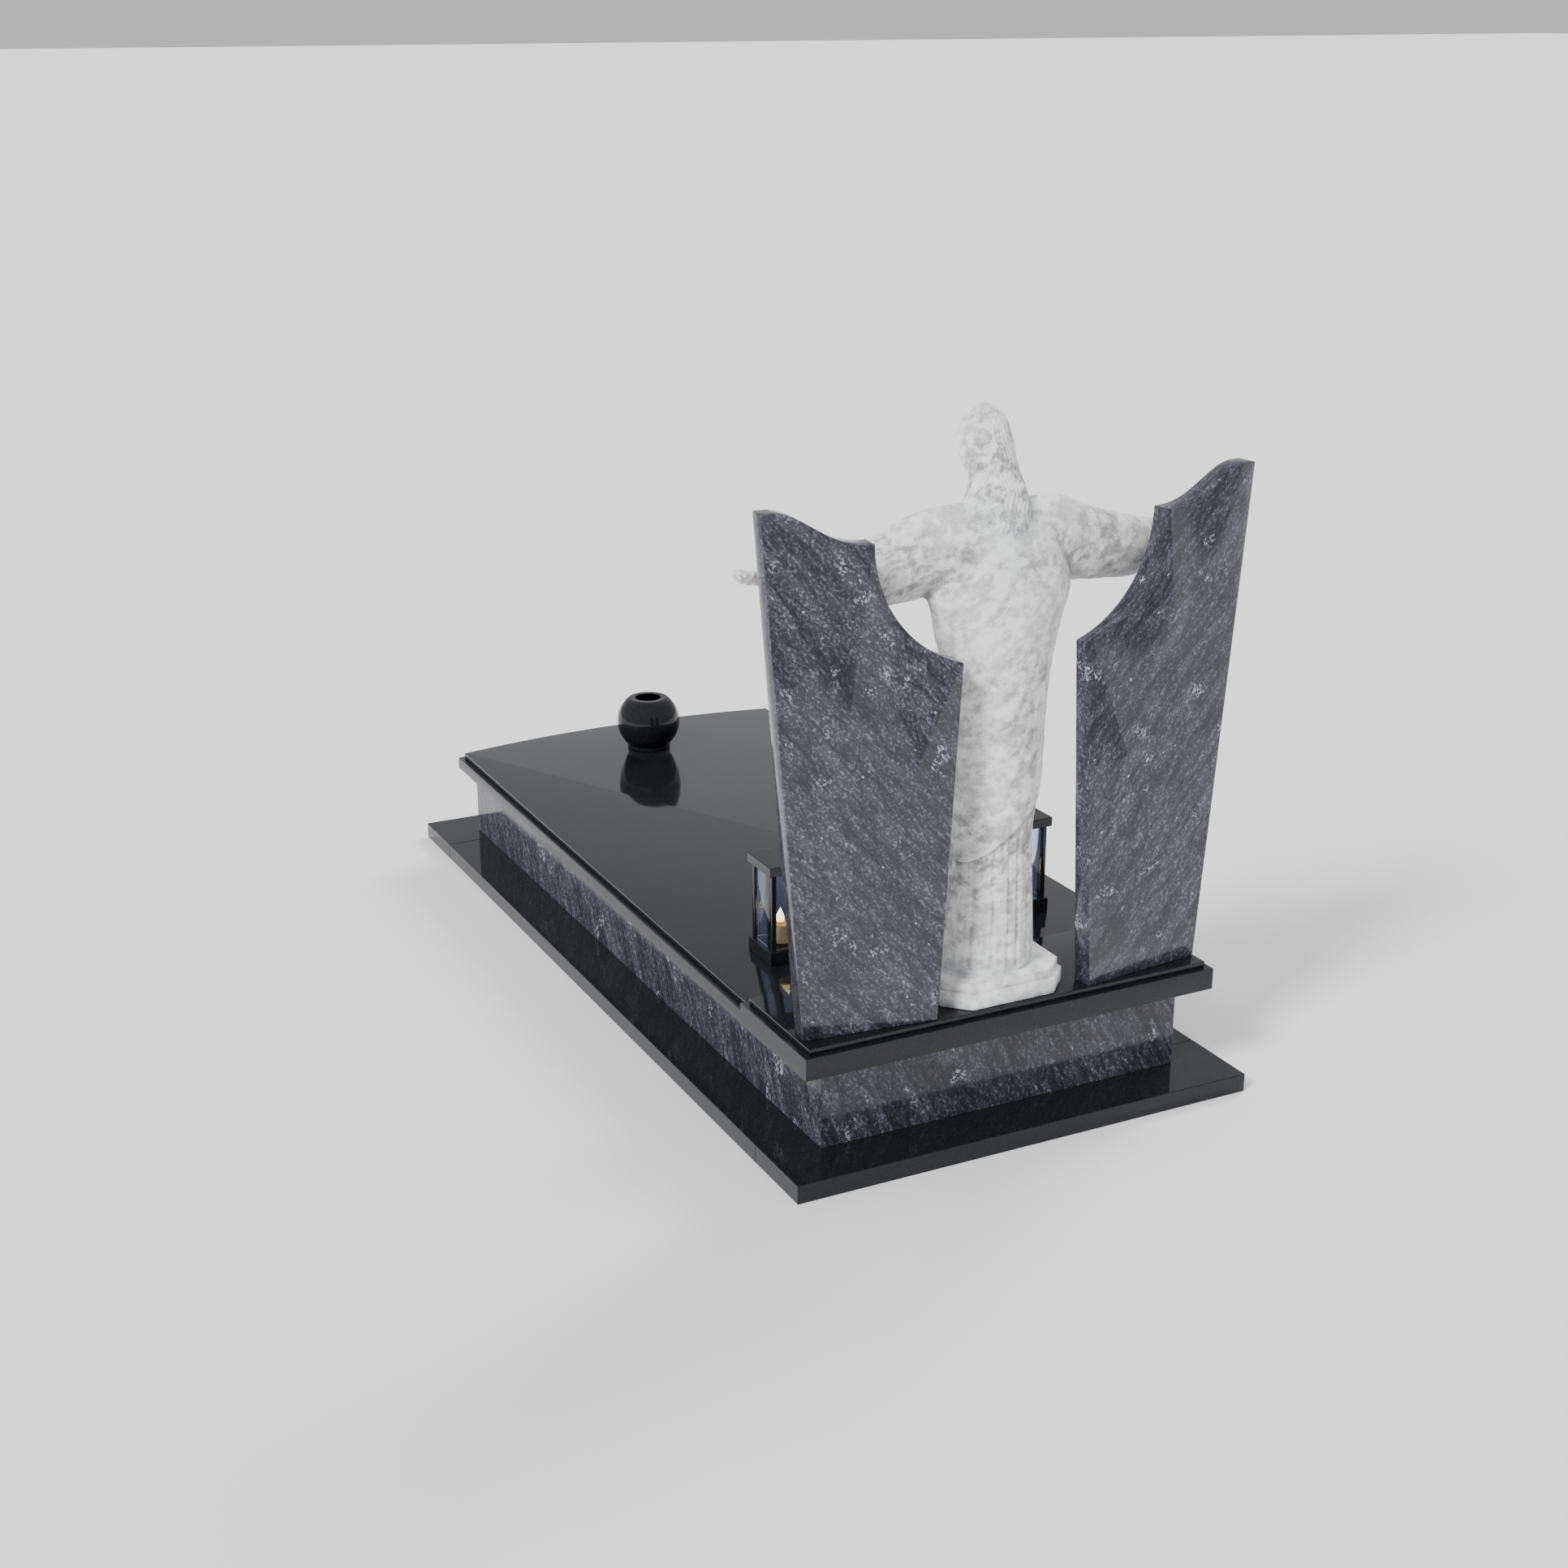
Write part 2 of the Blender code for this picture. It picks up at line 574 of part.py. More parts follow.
def carved_statue_mesh():
    rough = add_piece("figure_rough", rough_statue(), None)
    remesh = rough.modifiers.new("skin", "REMESH")
    remesh.mode = "VOXEL"
    remesh.voxel_size = STATUE_VOXEL / STATUE_HEIGHT
    smooth = rough.modifiers.new("soften", "SMOOTH")
    smooth.factor = 0.5
    smooth.iterations = 4
    mesh = evaluated_mesh(rough)
    bpy.data.objects.remove(rough, do_unlink=True)

    count = len(mesh.vertices)
    points = np.empty(count * 3, dtype=np.float32)
    normals = np.empty(count * 3, dtype=np.float32)
    mesh.vertices.foreach_get("co", points)
    mesh.vertices.foreach_get("normal", normals)
    carved = carve(points.reshape(-1, 3).astype(float), normals.reshape(-1, 3).astype(float))
    carved *= STATUE_HEIGHT
    mesh.vertices.foreach_set("co", carved.astype(np.float32).ravel())
    mesh.shade_smooth()
    return mesh


def plinth_outline(half, corner):
    edge = half - corner
    return [
        (half, -edge),
        (half, edge),
        (edge, half),
        (-edge, half),
        (-half, edge),
        (-half, -edge),
        (-edge, -half),
        (edge, -half),
    ]


def plinth_mesh(name):
    top = PLINTH_LOWER + PLINTH_UPPER
    levels = [
        (0.0, 0.0),
        (0.0, PLINTH_LOWER - PLINTH_ARRIS),
        (PLINTH_ARRIS, PLINTH_LOWER),
        (PLINTH_STEP, PLINTH_LOWER),
        (PLINTH_STEP, top - PLINTH_ARRIS),
        (PLINTH_STEP + PLINTH_ARRIS, top),
    ]
    rings = []
    for inset, z in levels:
        rings.append([(x, y, z) for x, y in plinth_outline(PLINTH_HALF - inset, PLINTH_CORNER)])
    return ring_loft(rings, name)


def build_statue(material):
    figure_foot = PLINTH_LOWER + PLINTH_UPPER - SOLE_LEVEL * STATUE_HEIGHT
    figure_mesh = carved_statue_mesh()
    triangles = sum(len(face.vertices) - 2 for face in figure_mesh.polygons)
    figure = add_piece("figure", figure_mesh, material, (0.0, PLINTH_CENTRE, ON_HEAD_SLAB + figure_foot))
    reduce = figure.modifiers.new("reduce", "DECIMATE")
    reduce.ratio = STATUE_TRIANGLES / triangles
    figure.hide_render = True
    figure.display_type = "WIRE"
    plinth = plinth_mesh("christ_statue")
    statue = add_piece("christ_statue", plinth, material, (0.0, PLINTH_CENTRE, ON_HEAD_SLAB))
    union = statue.modifiers.new("figure", "BOOLEAN")
    union.operation = "UNION"
    union.object = figure


def vase_profile():
    """Radius and height from the middle of the underside round the wall to the middle of the floor."""
    inner = VASE_RADIUS - VASE_WALL
    drop = math.sqrt(VASE_RADIUS**2 - VASE_FOOT_RADIUS**2)
    centre = VASE_FOOT_HEIGHT + drop
    low = -math.asin(drop / VASE_RADIUS)
    high = math.acos(VASE_MOUTH_RADIUS / VASE_RADIUS)
    profile = [(VASE_FOOT_RADIUS, 0.0)]
    for i in range(VASE_STEPS + 1):
        angle = low + (high - low) * i / VASE_STEPS
        profile.append((VASE_RADIUS * math.cos(angle), centre + VASE_RADIUS * math.sin(angle)))
    rim = centre + VASE_RADIUS * math.sin(high)
    inner_high = math.asin(min((rim - centre) / inner, 0.999))
    inner_low = -math.asin(min((centre - VASE_FLOOR) / inner, 0.97))
    for i in range(VASE_STEPS):
        angle = inner_high + (inner_low - inner_high) * i / (VASE_STEPS - 1)
        profile.append((inner * math.cos(angle), centre + inner * math.sin(angle)))
    return profile


def build_vase(material):
    angles = [2 * math.pi * i / VASE_SIDES for i in range(VASE_SIDES)]
    rings = []
    for radius, z in vase_profile():
        rings.append([(radius * math.cos(a), radius * math.sin(a), z) for a in angles])
    mesh = ring_loft(rings, "vase")
    mesh.shade_smooth()
    mesh.set_sharp_from_angle(angle=SHARP_ANGLE)
    add_piece("vase", mesh, material, (-VASE_OFF_CENTRE, COVER_FOOT + VASE_FROM_FOOT, ON_COVER))


def build_lantern(side, x, granite, glass, wax):
    y = HEAD_FRONT - LANTERN_FROM_HEAD_SLAB
    floor_top = ON_COVER + LANTERN_FLOOR_THICKNESS
    post_foot = floor_top + CLEARANCE
    roof_bottom = post_foot + LANTERN_POST_HEIGHT + CLEARANCE
    prefix = "lantern_" + side

    slabs = {
        prefix + "_floor": (LANTERN_FLOOR, LANTERN_FLOOR_THICKNESS, ON_COVER),
        prefix + "_roof": (LANTERN_ROOF, LANTERN_ROOF_THICKNESS, roof_bottom),
    }
    for name, (size, thickness, bottom) in slabs.items():
        mesh = box_mesh((size, size, thickness), name)
        slab = add_piece(name, mesh, granite, (x, y, bottom + thickness / 2))
        bevel_edges(slab, LANTERN_ARRIS)

    reach = LANTERN_FLOOR / 2 - LANTERN_POST_INSET - LANTERN_POST / 2
    corners = {"front_left": (1, -1), "rear_left": (1, 1), "rear_right": (-1, 1), "front_right": (-1, -1)}
    for corner, (across, along) in corners.items():
        name = prefix + "_post_" + corner
        mesh = box_mesh((LANTERN_POST, LANTERN_POST, LANTERN_POST_HEIGHT), name)
        place = (x + across * reach, y + along * reach, post_foot + LANTERN_POST_HEIGHT / 2)
        add_piece(name, mesh, granite, place)

    pane_width = 2 * reach - LANTERN_POST - 2 * CLEARANCE
    panes = {"front": (0, -1), "rear": (0, 1), "left": (1, 0), "right": (-1, 0)}
    for face, (across, along) in panes.items():
        name = prefix + "_glass_" + face
        size = (pane_width, LANTERN_GLASS) if along else (LANTERN_GLASS, pane_width)
        mesh = box_mesh((*size, LANTERN_POST_HEIGHT), name)
        place = (x + across * reach, y + along * reach, post_foot + LANTERN_POST_HEIGHT / 2)
        add_piece(name, mesh, glass, place)

    name = prefix + "_candle"
    angles = [2 * math.pi * i / CANDLE_SIDES for i in range(CANDLE_SIDES)]
    round_plan = [(CANDLE_RADIUS * math.cos(a), CANDLE_RADIUS * math.sin(a)) for a in angles]
    candle = prism(round_plan, CANDLE_HEIGHT, name)
    candle.shade_smooth()
    candle.set_sharp_from_angle(angle=SHARP_ANGLE)
    add_piece(name, candle, wax, (x, y, post_foot))


def build_lanterns(granite, glass, wax):
    build_lantern("left", LANTERN_FROM_MIDDLE, granite, glass, wax)
    build_lantern("right", -LANTERN_FROM_MIDDLE, granite, glass, wax)


def main():
    clear_scene()
    black_granite = make_material("black_granite", (0.012, 0.012, 0.014), 0.08)
    blue_granite = make_material("blue_granite", (0.075, 0.078, 0.100), 0.25)
    marble = make_material("white_marble", (0.72, 0.72, 0.73), 0.45)
    glass = make_material("lantern_glass", (0.80, 0.86, 0.92), 0.03, alpha=0.25)
    wax = make_material("candle_wax", (0.55, 0.42, 0.20), 0.40)
    build_base(black_granite)
    build_frame(blue_granite)
    build_slabs(black_granite)
    build_tablets(blue_granite)
    build_statue(marble)
    build_vase(black_granite)
    build_lanterns(black_granite, glass, wax)


main()
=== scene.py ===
# A single granite grave with two tablets, a marble statue of Christ, a vase and two lanterns.
import math

import bmesh
import bpy
import numpy as np
from mathutils import Matrix, Vector


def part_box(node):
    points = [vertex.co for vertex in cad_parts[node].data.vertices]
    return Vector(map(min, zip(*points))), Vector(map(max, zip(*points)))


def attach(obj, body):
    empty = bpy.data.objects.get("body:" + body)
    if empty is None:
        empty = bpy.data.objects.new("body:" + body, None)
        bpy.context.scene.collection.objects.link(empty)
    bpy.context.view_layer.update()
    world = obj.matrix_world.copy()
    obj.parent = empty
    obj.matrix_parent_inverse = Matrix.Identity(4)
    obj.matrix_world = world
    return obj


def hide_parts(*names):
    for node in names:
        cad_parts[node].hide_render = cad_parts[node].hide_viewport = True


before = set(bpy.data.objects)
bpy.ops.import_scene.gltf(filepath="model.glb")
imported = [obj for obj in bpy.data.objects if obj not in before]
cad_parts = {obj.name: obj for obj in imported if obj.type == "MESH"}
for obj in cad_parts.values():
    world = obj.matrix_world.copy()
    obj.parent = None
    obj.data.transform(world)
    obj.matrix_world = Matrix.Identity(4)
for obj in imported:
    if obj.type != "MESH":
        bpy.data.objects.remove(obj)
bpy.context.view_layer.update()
print("frame loaded:", len(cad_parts), "nodes")


# Camera and light
photoView = {
    "lens": 51.85,
    "sensor": 36.0,
    "place": (2.1404, 4.2632, 2.0713),
    "yaw": 26.6954,
    "pitch": 19.3359,
}
studio = {
    "floorHalf": 90.0,
    "floorColour": (0.90, 0.90, 0.905),
    "skyColour": (0.98, 0.985, 1.0),
    "skyStrength": 0.62,
    "keyTowards": (4.6, 2.0, 4.2),
    "keySpread": 14.0,
    "keyStrength": 3.9,
    "frontTowards": (-5.0, -2.6, 4.4),
    "frontSpread": 18.0,
    "frontStrength": 2.2,
}


def link(thing):
    bpy.context.scene.collection.objects.link(thing)
    return thing


def makeCamera():
    data = bpy.data.cameras.new("photoCamera")
    data.lens = photoView["lens"]
    data.sensor_width = photoView["sensor"]
    camera = link(bpy.data.objects.new("photoCamera", data))
    camera.location = photoView["place"]
    tilt = math.radians(90 - photoView["pitch"])
    camera.rotation_euler = (tilt, 0.0, math.radians(180 - photoView["yaw"]))
    bpy.context.scene.camera = camera


def makeLight(name, towards, spread, strength):
    # A wide soft light, not seen in the polished stone.
    data = bpy.data.lights.new(name, "SUN")
    data.energy = strength
    data.angle = math.radians(spread)
    lamp = link(bpy.data.objects.new(name, data))
    lamp.location = towards
    lamp.rotation_euler = (-Vector(towards)).to_track_quat("-Z", "Y").to_euler()
    lamp.visible_glossy = False


def makeSky():
    world = bpy.data.worlds.new("studioSky")
    world.use_nodes = True
    background = world.node_tree.nodes["Background"]
    background.inputs["Color"].default_value = (*studio["skyColour"], 1.0)
    background.inputs["Strength"].default_value = studio["skyStrength"]
    bpy.context.scene.world = world


# Node tools
def feed(tree, socket, value):
    value = value.socket if isinstance(value, Wire) else value
    if isinstance(value, bpy.types.NodeSocket):
        tree.links.new(value, socket)
    else:
        socket.default_value = value


def addNode(tree, kind, settings, values):
    # Settings come first, as some of them change a node's sockets.
    node = tree.nodes.new(kind)
    for key, value in (settings or {}).items():
        setattr(node, key, value)
    for key, value in (values or {}).items():
        feed(tree, node.inputs[key], value)
    return node


class Wire:
    # A socket that sums and scales as an expression.
    def __init__(self, paint, socket):
        self.paint = paint
        self.socket = socket

    def maths(self, operation, *values):
        return self.paint.make("ShaderNodeMath", {"operation": operation}, dict(enumerate(values)))

    def __add__(self, other):
        return self.maths("ADD", self, other)

    def __radd__(self, other):
        return self.maths("ADD", other, self)

    def __sub__(self, other):
        return self.maths("SUBTRACT", self, other)

    def __rsub__(self, other):
        return self.maths("SUBTRACT", other, self)

    def __mul__(self, other):
        return self.maths("MULTIPLY", self, other)

    def __rmul__(self, other):
        return self.maths("MULTIPLY", other, self)

    def rise(self, low, high, start=0.0, end=1.0):
        # Smooth step from start at low to end at high.
        settings = {"interpolation_type": "SMOOTHSTEP"}
        values = {"Value": self, "From Min": low, "From Max": high, "To Min": start, "To Max": end}
        return self.paint.make("ShaderNodeMapRange", settings, values)


class Paint:
    # One material and its nodes.
    def __init__(self, name):
        self.material = bpy.data.materials.new(name)
        self.material.use_nodes = True
        self.tree = self.material.node_tree
        self.shader = self.tree.nodes["Principled BSDF"]

    def make(self, kind, settings=None, values=None, output=0):
        return Wire(self, addNode(self.tree, kind, settings, values).outputs[output])

    def set(self, **values):
        for key, value in values.items():
            feed(self.tree, self.shader.inputs[key.replace("_", " ")], value)

    def spot(self):
        return self.make("ShaderNodeTexCoord", output="Object")

    def turned(self, vector, turn, scale):
        # The pattern's own axes: turned first, then stretched.
        values = {"Vector": vector, "Rotation": [math.radians(a) for a in turn]}
        facing = self.make("ShaderNodeMapping", {"vector_type": "POINT"}, values)
        return self.make("ShaderNodeVectorMath", {"operation": "MULTIPLY"}, {0: facing, 1: scale})

    def noise(self, vector, scale, detail, roughness=0.5, distortion=0.0):
        values = {"Vector": vector, "Scale": scale, "Detail": detail}
        values.update({"Roughness": roughness, "Distortion": distortion})
        return self.make("ShaderNodeTexNoise", {}, values)

    def cells(self, vector, scale):
        return self.make("ShaderNodeTexVoronoi", {}, {"Vector": vector, "Scale": scale}, "Distance")

    def mix(self, factor, first, second):
        colours = [(*c, 1.0) if isinstance(c, tuple) else c for c in (first, second)]
        return self.make("ShaderNodeMix", {"data_type": "RGBA"}, {0: factor, 6: colours[0], 7: colours[1]}, 2)

    def bump(self, height, distance, strength):
        return self.make("ShaderNodeBump", {}, {"Height": height, "Distance": distance, "Strength": strength})


# Materials
blackGranite = {
    "ground": (0.006, 0.006, 0.008),
    "grain": (0.015, 0.016, 0.019),
    "fleck": (0.070, 0.073, 0.082),
    "grainScale": 620.0,
    "fleckScale": 330.0,
    "roughness": 0.035,
    "mirror": 0.28,
}
blueGranite = {
    "ground": (0.013, 0.013, 0.018),
    "grain": (0.097, 0.096, 0.120),
    "crystal": (0.30, 0.30, 0.37),
    "glint": (0.75, 0.82, 0.92),
    "mirror": 0.36,
    "roughness": 0.10,
}
whiteMarble = {
    "ground": (0.90, 0.90, 0.90),
    "cloud": (0.34, 0.34, 0.345),
    "shade": (0.21, 0.21, 0.215),
    # painted shade in the recesses
    "hollow": (0.20, 0.20, 0.195),
    # painted highlight on raised parts
    "raisedHighlight": (0.97, 0.97, 0.97),
    "frontStrength": 0.42,
    "roughness": 0.42,
}
lanternPaint = {
    "glass": (0.66, 0.79, 0.97, 1.0),
    "waxPale": (0.62, 0.47, 0.20),
    "waxDeep": (0.48, 0.36, 0.14),
    "waxGlow": (1.0, 0.55, 0.16, 1.0),
    "wickBurnt": (0.02, 0.018, 0.016),
    "wickPale": (0.10, 0.08, 0.06),
    "flameFoot": (0.9, 0.25, 0.05),
    "flameBody": (1.0, 0.62, 0.20),
    "flameTip": (1.0, 0.80, 0.45),
    "flameStrength": 6.0,
}


def makeBlackGranite():
    paint = Paint("blackGranite")
    spot = paint.spot()
    grain = paint.noise(spot, blackGranite["grainScale"], 3.0).rise(0.42, 0.68)
    crystals = paint.cells(spot, blackGranite["fleckScale"])
    chance = paint.noise(spot, blackGranite["fleckScale"] * 0.45, 1.0)
    fleck = crystals.rise(0.16, 0.30, 1.0, 0.0) * chance.rise(0.56, 0.64)
    colour = paint.mix(grain, blackGranite["ground"], blackGranite["grain"])
    colour = paint.mix(fleck * 0.55, colour, blackGranite["fleck"])
    smear = paint.noise(paint.turned(spot, (0, 0, 24), (1.0, 0.45, 1.0)), 7.0, 4.0, 0.6)
    gloss = smear.rise(0.35, 0.75, blackGranite["roughness"], blackGranite["roughness"] + 0.045)
    paint.set(Base_Color=colour, Roughness=gloss, IOR=1.55, Specular_IOR_Level=blackGranite["mirror"])
    return paint.material


def makeBlueGranite(name, turn):
    # The stone's streaks run along the pattern's own X axis, turned to suit each piece.
    paint = Paint(name)
    spot = paint.spot()
    along = paint.turned(spot, turn, (0.16, 1.0, 0.8))
    loose = paint.turned(spot, turn, (0.60, 1.0, 0.9))
    bands = paint.noise(along, 19.0, 4.0, 0.6, 0.8)
    threads = paint.noise(along, 82.0, 3.0, 0.6, 0.6)
    crease = paint.noise(along, 38.0, 2.0, 0.5, 0.9) - 0.5
    crease = crease.maths("ABSOLUTE", crease).rise(0.0, 0.045)
    grain = paint.noise(loose, 250.0, 2.0, 0.62, 0.4)
    fine = paint.noise(loose, 430.0, 2.0, 0.6)
    density = bands.rise(0.34, 0.66, 0.0, 0.45) + threads.rise(0.38, 0.62, 0.0, 0.55)
    density = density * (0.25 + 0.75 * crease)
    colour = paint.mix(density * 0.52 + 0.14 * fine, blueGranite["ground"], blueGranite["grain"])
    specks = grain.rise(0.50, 0.68) * (0.14 + 0.86 * density)
    colour = paint.mix(specks * 0.62, colour, blueGranite["crystal"])
    cluster = paint.noise(spot, 16.0, 2.0, 0.5).rise(0.63, 0.73) * (grain + 0.3 * fine).rise(0.64, 0.78)
    lone = paint.cells(loose, 66.0).rise(0.08, 0.15, 1.0, 0.0) * threads.rise(0.55, 0.65)
    colour = paint.mix(cluster * 0.55 + lone * 0.55, colour, blueGranite["glint"])
    gloss = fine.rise(0.3, 0.8, blueGranite["roughness"] - 0.03, blueGranite["roughness"] + 0.06)
    paint.set(Base_Color=colour, Roughness=gloss, IOR=1.54, Specular_IOR_Level=blueGranite["mirror"])
    return paint.material


def makeMarble():
    paint = Paint("whiteMarble")
    spot = paint.spot()
    tilted = paint.turned(spot, (0, -24, 30), (0.80, 0.95, 1.10))
    large = paint.noise(tilted, 13.0, 3.0, 0.55, 0.5).rise(0.36, 0.60)
    clouds = paint.noise(tilted, 33.0, 3.0, 0.60, 0.25).rise(0.37, 0.58)
    blots = paint.noise(tilted, 74.0, 3.0, 0.62, 0.2).rise(0.41, 0.58)
    low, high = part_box("christ_statue")
    middle = (low.y + high.y) / 2
    depth = paint.make("ShaderNodeSeparateXYZ", {}, {0: spot}, 1)
    strength = depth.rise(middle - 0.05, middle + 0.03, whiteMarble["frontStrength"], 1.0)
    cover = (clouds * (0.32 + 0.44 * blots) + blots * 0.22) * strength
    colour = paint.mix(cover, whiteMarble["ground"], whiteMarble["cloud"])
    colour = paint.mix(large * clouds * strength * 0.52, colour, whiteMarble["shade"])
    # The stone is painted darker in its recesses: painted shade that brings out the carving.
    hollow = paint.make("ShaderNodeAttribute", {"attribute_name": "hollow"}, {}, "Fac")
    colour = paint.mix(hollow.rise(0.04, 1.0) * 0.72, colour, whiteMarble["hollow"])
    # Raised parts are painted paler: a painted highlight that brings out the carving.
    colour = paint.mix((0.0 - hollow).rise(0.10, 1.2) * 0.45, colour, whiteMarble["raisedHighlight"])
    pits = paint.noise(spot, 420.0, 3.0, 0.6) * 0.5 + paint.noise(spot, 95.0, 2.0) * 0.5
    gloss = blots.rise(0.0, 1.0, whiteMarble["roughness"], whiteMarble["roughness"] + 0.14)
    paint.set(Base_Color=colour, Roughness=gloss, Normal=paint.bump(pits, 0.0012, 0.35))
    paint.set(Specular_IOR_Level=0.4, Subsurface_Weight=0.06, Subsurface_Scale=0.1)
    return paint.material


def makeGlass():
    paint = Paint("lanternGlass")
    dust = paint.noise(paint.spot(), 60.0, 4.0, 0.6)
    paint.set(Base_Color=lanternPaint["glass"], Roughness=dust.rise(0.4, 0.9, 0.0, 0.05))
    paint.set(Transmission_Weight=1.0, IOR=1.45, Specular_IOR_Level=0.3)
    return paint.material


def makeWax():
    paint = Paint("candleWax")
    cloud = paint.noise(paint.spot(), 70.0, 3.0).rise(0.35, 0.7)
    colour = paint.mix(cloud, lanternPaint["waxPale"], lanternPaint["waxDeep"])
    paint.set(Base_Color=colour, Roughness=cloud * 0.2 + 0.32, Subsurface_Weight=0.4)
    paint.set(Subsurface_Radius=(0.02, 0.012, 0.006), Subsurface_Scale=0.5)
    paint.set(Emission_Color=lanternPaint["waxGlow"], Emission_Strength=0.12)
    return paint.material


def makeWick():
    paint = Paint("wick")
    char = paint.noise(paint.spot(), 900.0, 2.0)
    paint.set(Base_Color=paint.mix(char, lanternPaint["wickBurnt"], lanternPaint["wickPale"]), Roughness=0.9)
    return paint.material


def makeFlame(tip, foot):
    # The glow goes from a deep orange foot to a pale yellow tip.
    paint = Paint("flame")
    level = paint.make("ShaderNodeSeparateXYZ", {}, {0: paint.spot()}, 2)
    body = foot + 0.3 * (tip - foot)
    colour = paint.mix(level.rise(foot, body), lanternPaint["flameFoot"], lanternPaint["flameBody"])
    colour = paint.mix(level.rise(body, tip), colour, lanternPaint["flameTip"])
    paint.set(Base_Color=(0.0, 0.0, 0.0, 1.0), Roughness=1.0)
    paint.set(Emission_Color=colour, Emission_Strength=lanternPaint["flameStrength"])
    return paint.material


def makeFloorPaint():
    paint = Paint("studioFloor")
    paint.set(Base_Color=(*studio["floorColour"], 1.0), Roughness=0.85)
    return paint.material


# Mesh tools
def meshFrom(name, points, faces):
    mesh = bpy.data.meshes.new(name)
    mesh.from_pydata([tuple(map(float, p)) for p in points], [], faces)
    mesh.validate()
    return mesh


def meshOf(body, name):
    # The finished bmesh as a mesh.
    mesh = bpy.data.meshes.new(name)
    body.to_mesh(mesh)
    body.free()
    return mesh


def ringFaces(rings, around):
    faces = []
    for r in range(rings - 1):
        for i in range(around):
            j = (i + 1) % around
            faces.append((r * around + i, r * around + j, (r + 1) * around + j, (r + 1) * around + i))
    faces.append(tuple(reversed(range(around))))
    faces.append(tuple(range((rings - 1) * around, rings * around)))
    return faces


def ringBody(name, rings):
    # A closed body through rings of equally many points, bottom first.
    points = [p for ring in rings for p in ring]
    mesh = meshFrom(name, points, ringFaces(len(rings), len(rings[0])))
    body = bmesh.new()
    body.from_mesh(mesh)
    bmesh.ops.recalc_face_normals(body, faces=body.faces)
    body.to_mesh(mesh)
    body.free()
    return mesh


def asPiece(name, mesh, paint, nodes, smoothBelow=None):
    # Smooth shading goes over edges of up to smoothBelow degrees.
    if smoothBelow:
        mesh.shade_smooth()
        mesh.set_sharp_from_angle(angle=math.radians(smoothBelow))
    piece = link(bpy.data.objects.new(name, mesh))
    mesh.materials.clear()
    mesh.materials.append(paint)
    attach(piece, "root")
    if nodes:
        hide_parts(*nodes)


def bakeModifiers(helper):
    # The evaluated mesh, free of modifiers; the helper object goes.
    seen = bpy.context.evaluated_depsgraph_get()
    mesh = bpy.data.meshes.new_from_object(helper.evaluated_get(seen))
    bpy.data.objects.remove(helper, do_unlink=True)
    return mesh


def roundEdges(mesh, width, segments=3, degrees=30):
    helper = link(bpy.data.objects.new("helper", mesh))
    bevel = helper.modifiers.new("arris", "BEVEL")
    bevel.width = width
    bevel.segments = segments
    bevel.limit_method = "ANGLE"
    bevel.angle_limit = math.radians(degrees)
    bevel.harden_normals = True
    return bakeModifiers(helper)


# Slabs and walls
slabs = {
    "clearance": 0.0003,
    "arris": 0.0015,
    "arrisSteps": 4,
    "wallArris": 0.0008,
    "lipInset": 0.0125,
    "grooveHeight": 0.002,
    "grooveDepth": 0.0015,
    "headBand": 0.045,
    "coverBand": 0.0285,
    "coverTaper": 0.012,
    "coverBow": 0.046,
    "bowSteps": 96,
}


def boxMesh(low, high, name):
    body = bmesh.new()
    matrix = Matrix.Translation((high + low) / 2) @ Matrix.Diagonal((*(high - low), 1.0))
    bmesh.ops.create_cube(body, size=1.0, matrix=matrix)
    return meshOf(body, name)


def makeBase(paint):
    for side in ("head", "foot", "left", "right"):
        node = "base_strip_" + side
        mesh = roundEdges(boxMesh(*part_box(node), node), slabs["arris"])
        asPiece("baseStrip" + side.title(), mesh, paint, [node])


def makeWalls(paints):
    # The solids' own mitred faces, cleaned of split points and given fine arrises.
    for side in ("head", "foot", "left", "right"):
        node = "frame_wall_" + side
        body = bmesh.new()
        body.from_mesh(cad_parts[node].data)
        bmesh.ops.remove_doubles(body, verts=body.verts, dist=0.00005)
        bmesh.ops.dissolve_limit(body, angle_limit=0.02, verts=body.verts, edges=body.edges)
        mesh = roundEdges(meshOf(body, node), slabs["wallArris"])
        asPiece("frameWall" + side.title(), mesh, paints[side], [node])


def arc(across, level, radius, start, end, steps):
    angles = [start + (end - start) * i / steps for i in range(steps + 1)]
    return [(across + radius * math.cos(a), level + radius * math.sin(a)) for a in angles]


def lowerEdge(inset, level, arris):
    # Inset and level of each ring round a rounded lower edge.
    return arc(inset + arris, level + arris, arris, -math.pi / 2, -math.pi, slabs["arrisSteps"])


def upperEdge(inset, level, arris):
    return arc(inset + arris, level - arris, arris, math.pi, math.pi / 2, slabs["arrisSteps"])


def steppedLevels(bottom, band, top):
    # A slab with a band, a fine groove and a lip set back above it.
    arris = slabs["arris"]
    lip = slabs["lipInset"]
    groove = lip + slabs["grooveDepth"]
    grooveTop = bottom + band + slabs["grooveHeight"]
    levels = lowerEdge(0, bottom, arris) + upperEdge(0, bottom + band, arris)
    levels += [(groove, bottom + band), (groove, grooveTop), (lip, grooveTop)]
    return levels + upperEdge(lip, top, arris)


def makeHeadSlab(paint):
    low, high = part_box("head_slab")
    rings = []
    for inset, z in steppedLevels(low.z, slabs["headBand"], high.z):
        left, right = high.x - inset, low.x + inset
        front, rear = low.y + inset, high.y - inset
        rings.append([(right, front, z), (left, front, z), (left, rear, z), (right, rear, z)])
    mesh = ringBody("headSlab", rings)
    asPiece("headSlab", mesh, paint, ["head_slab"], 50)


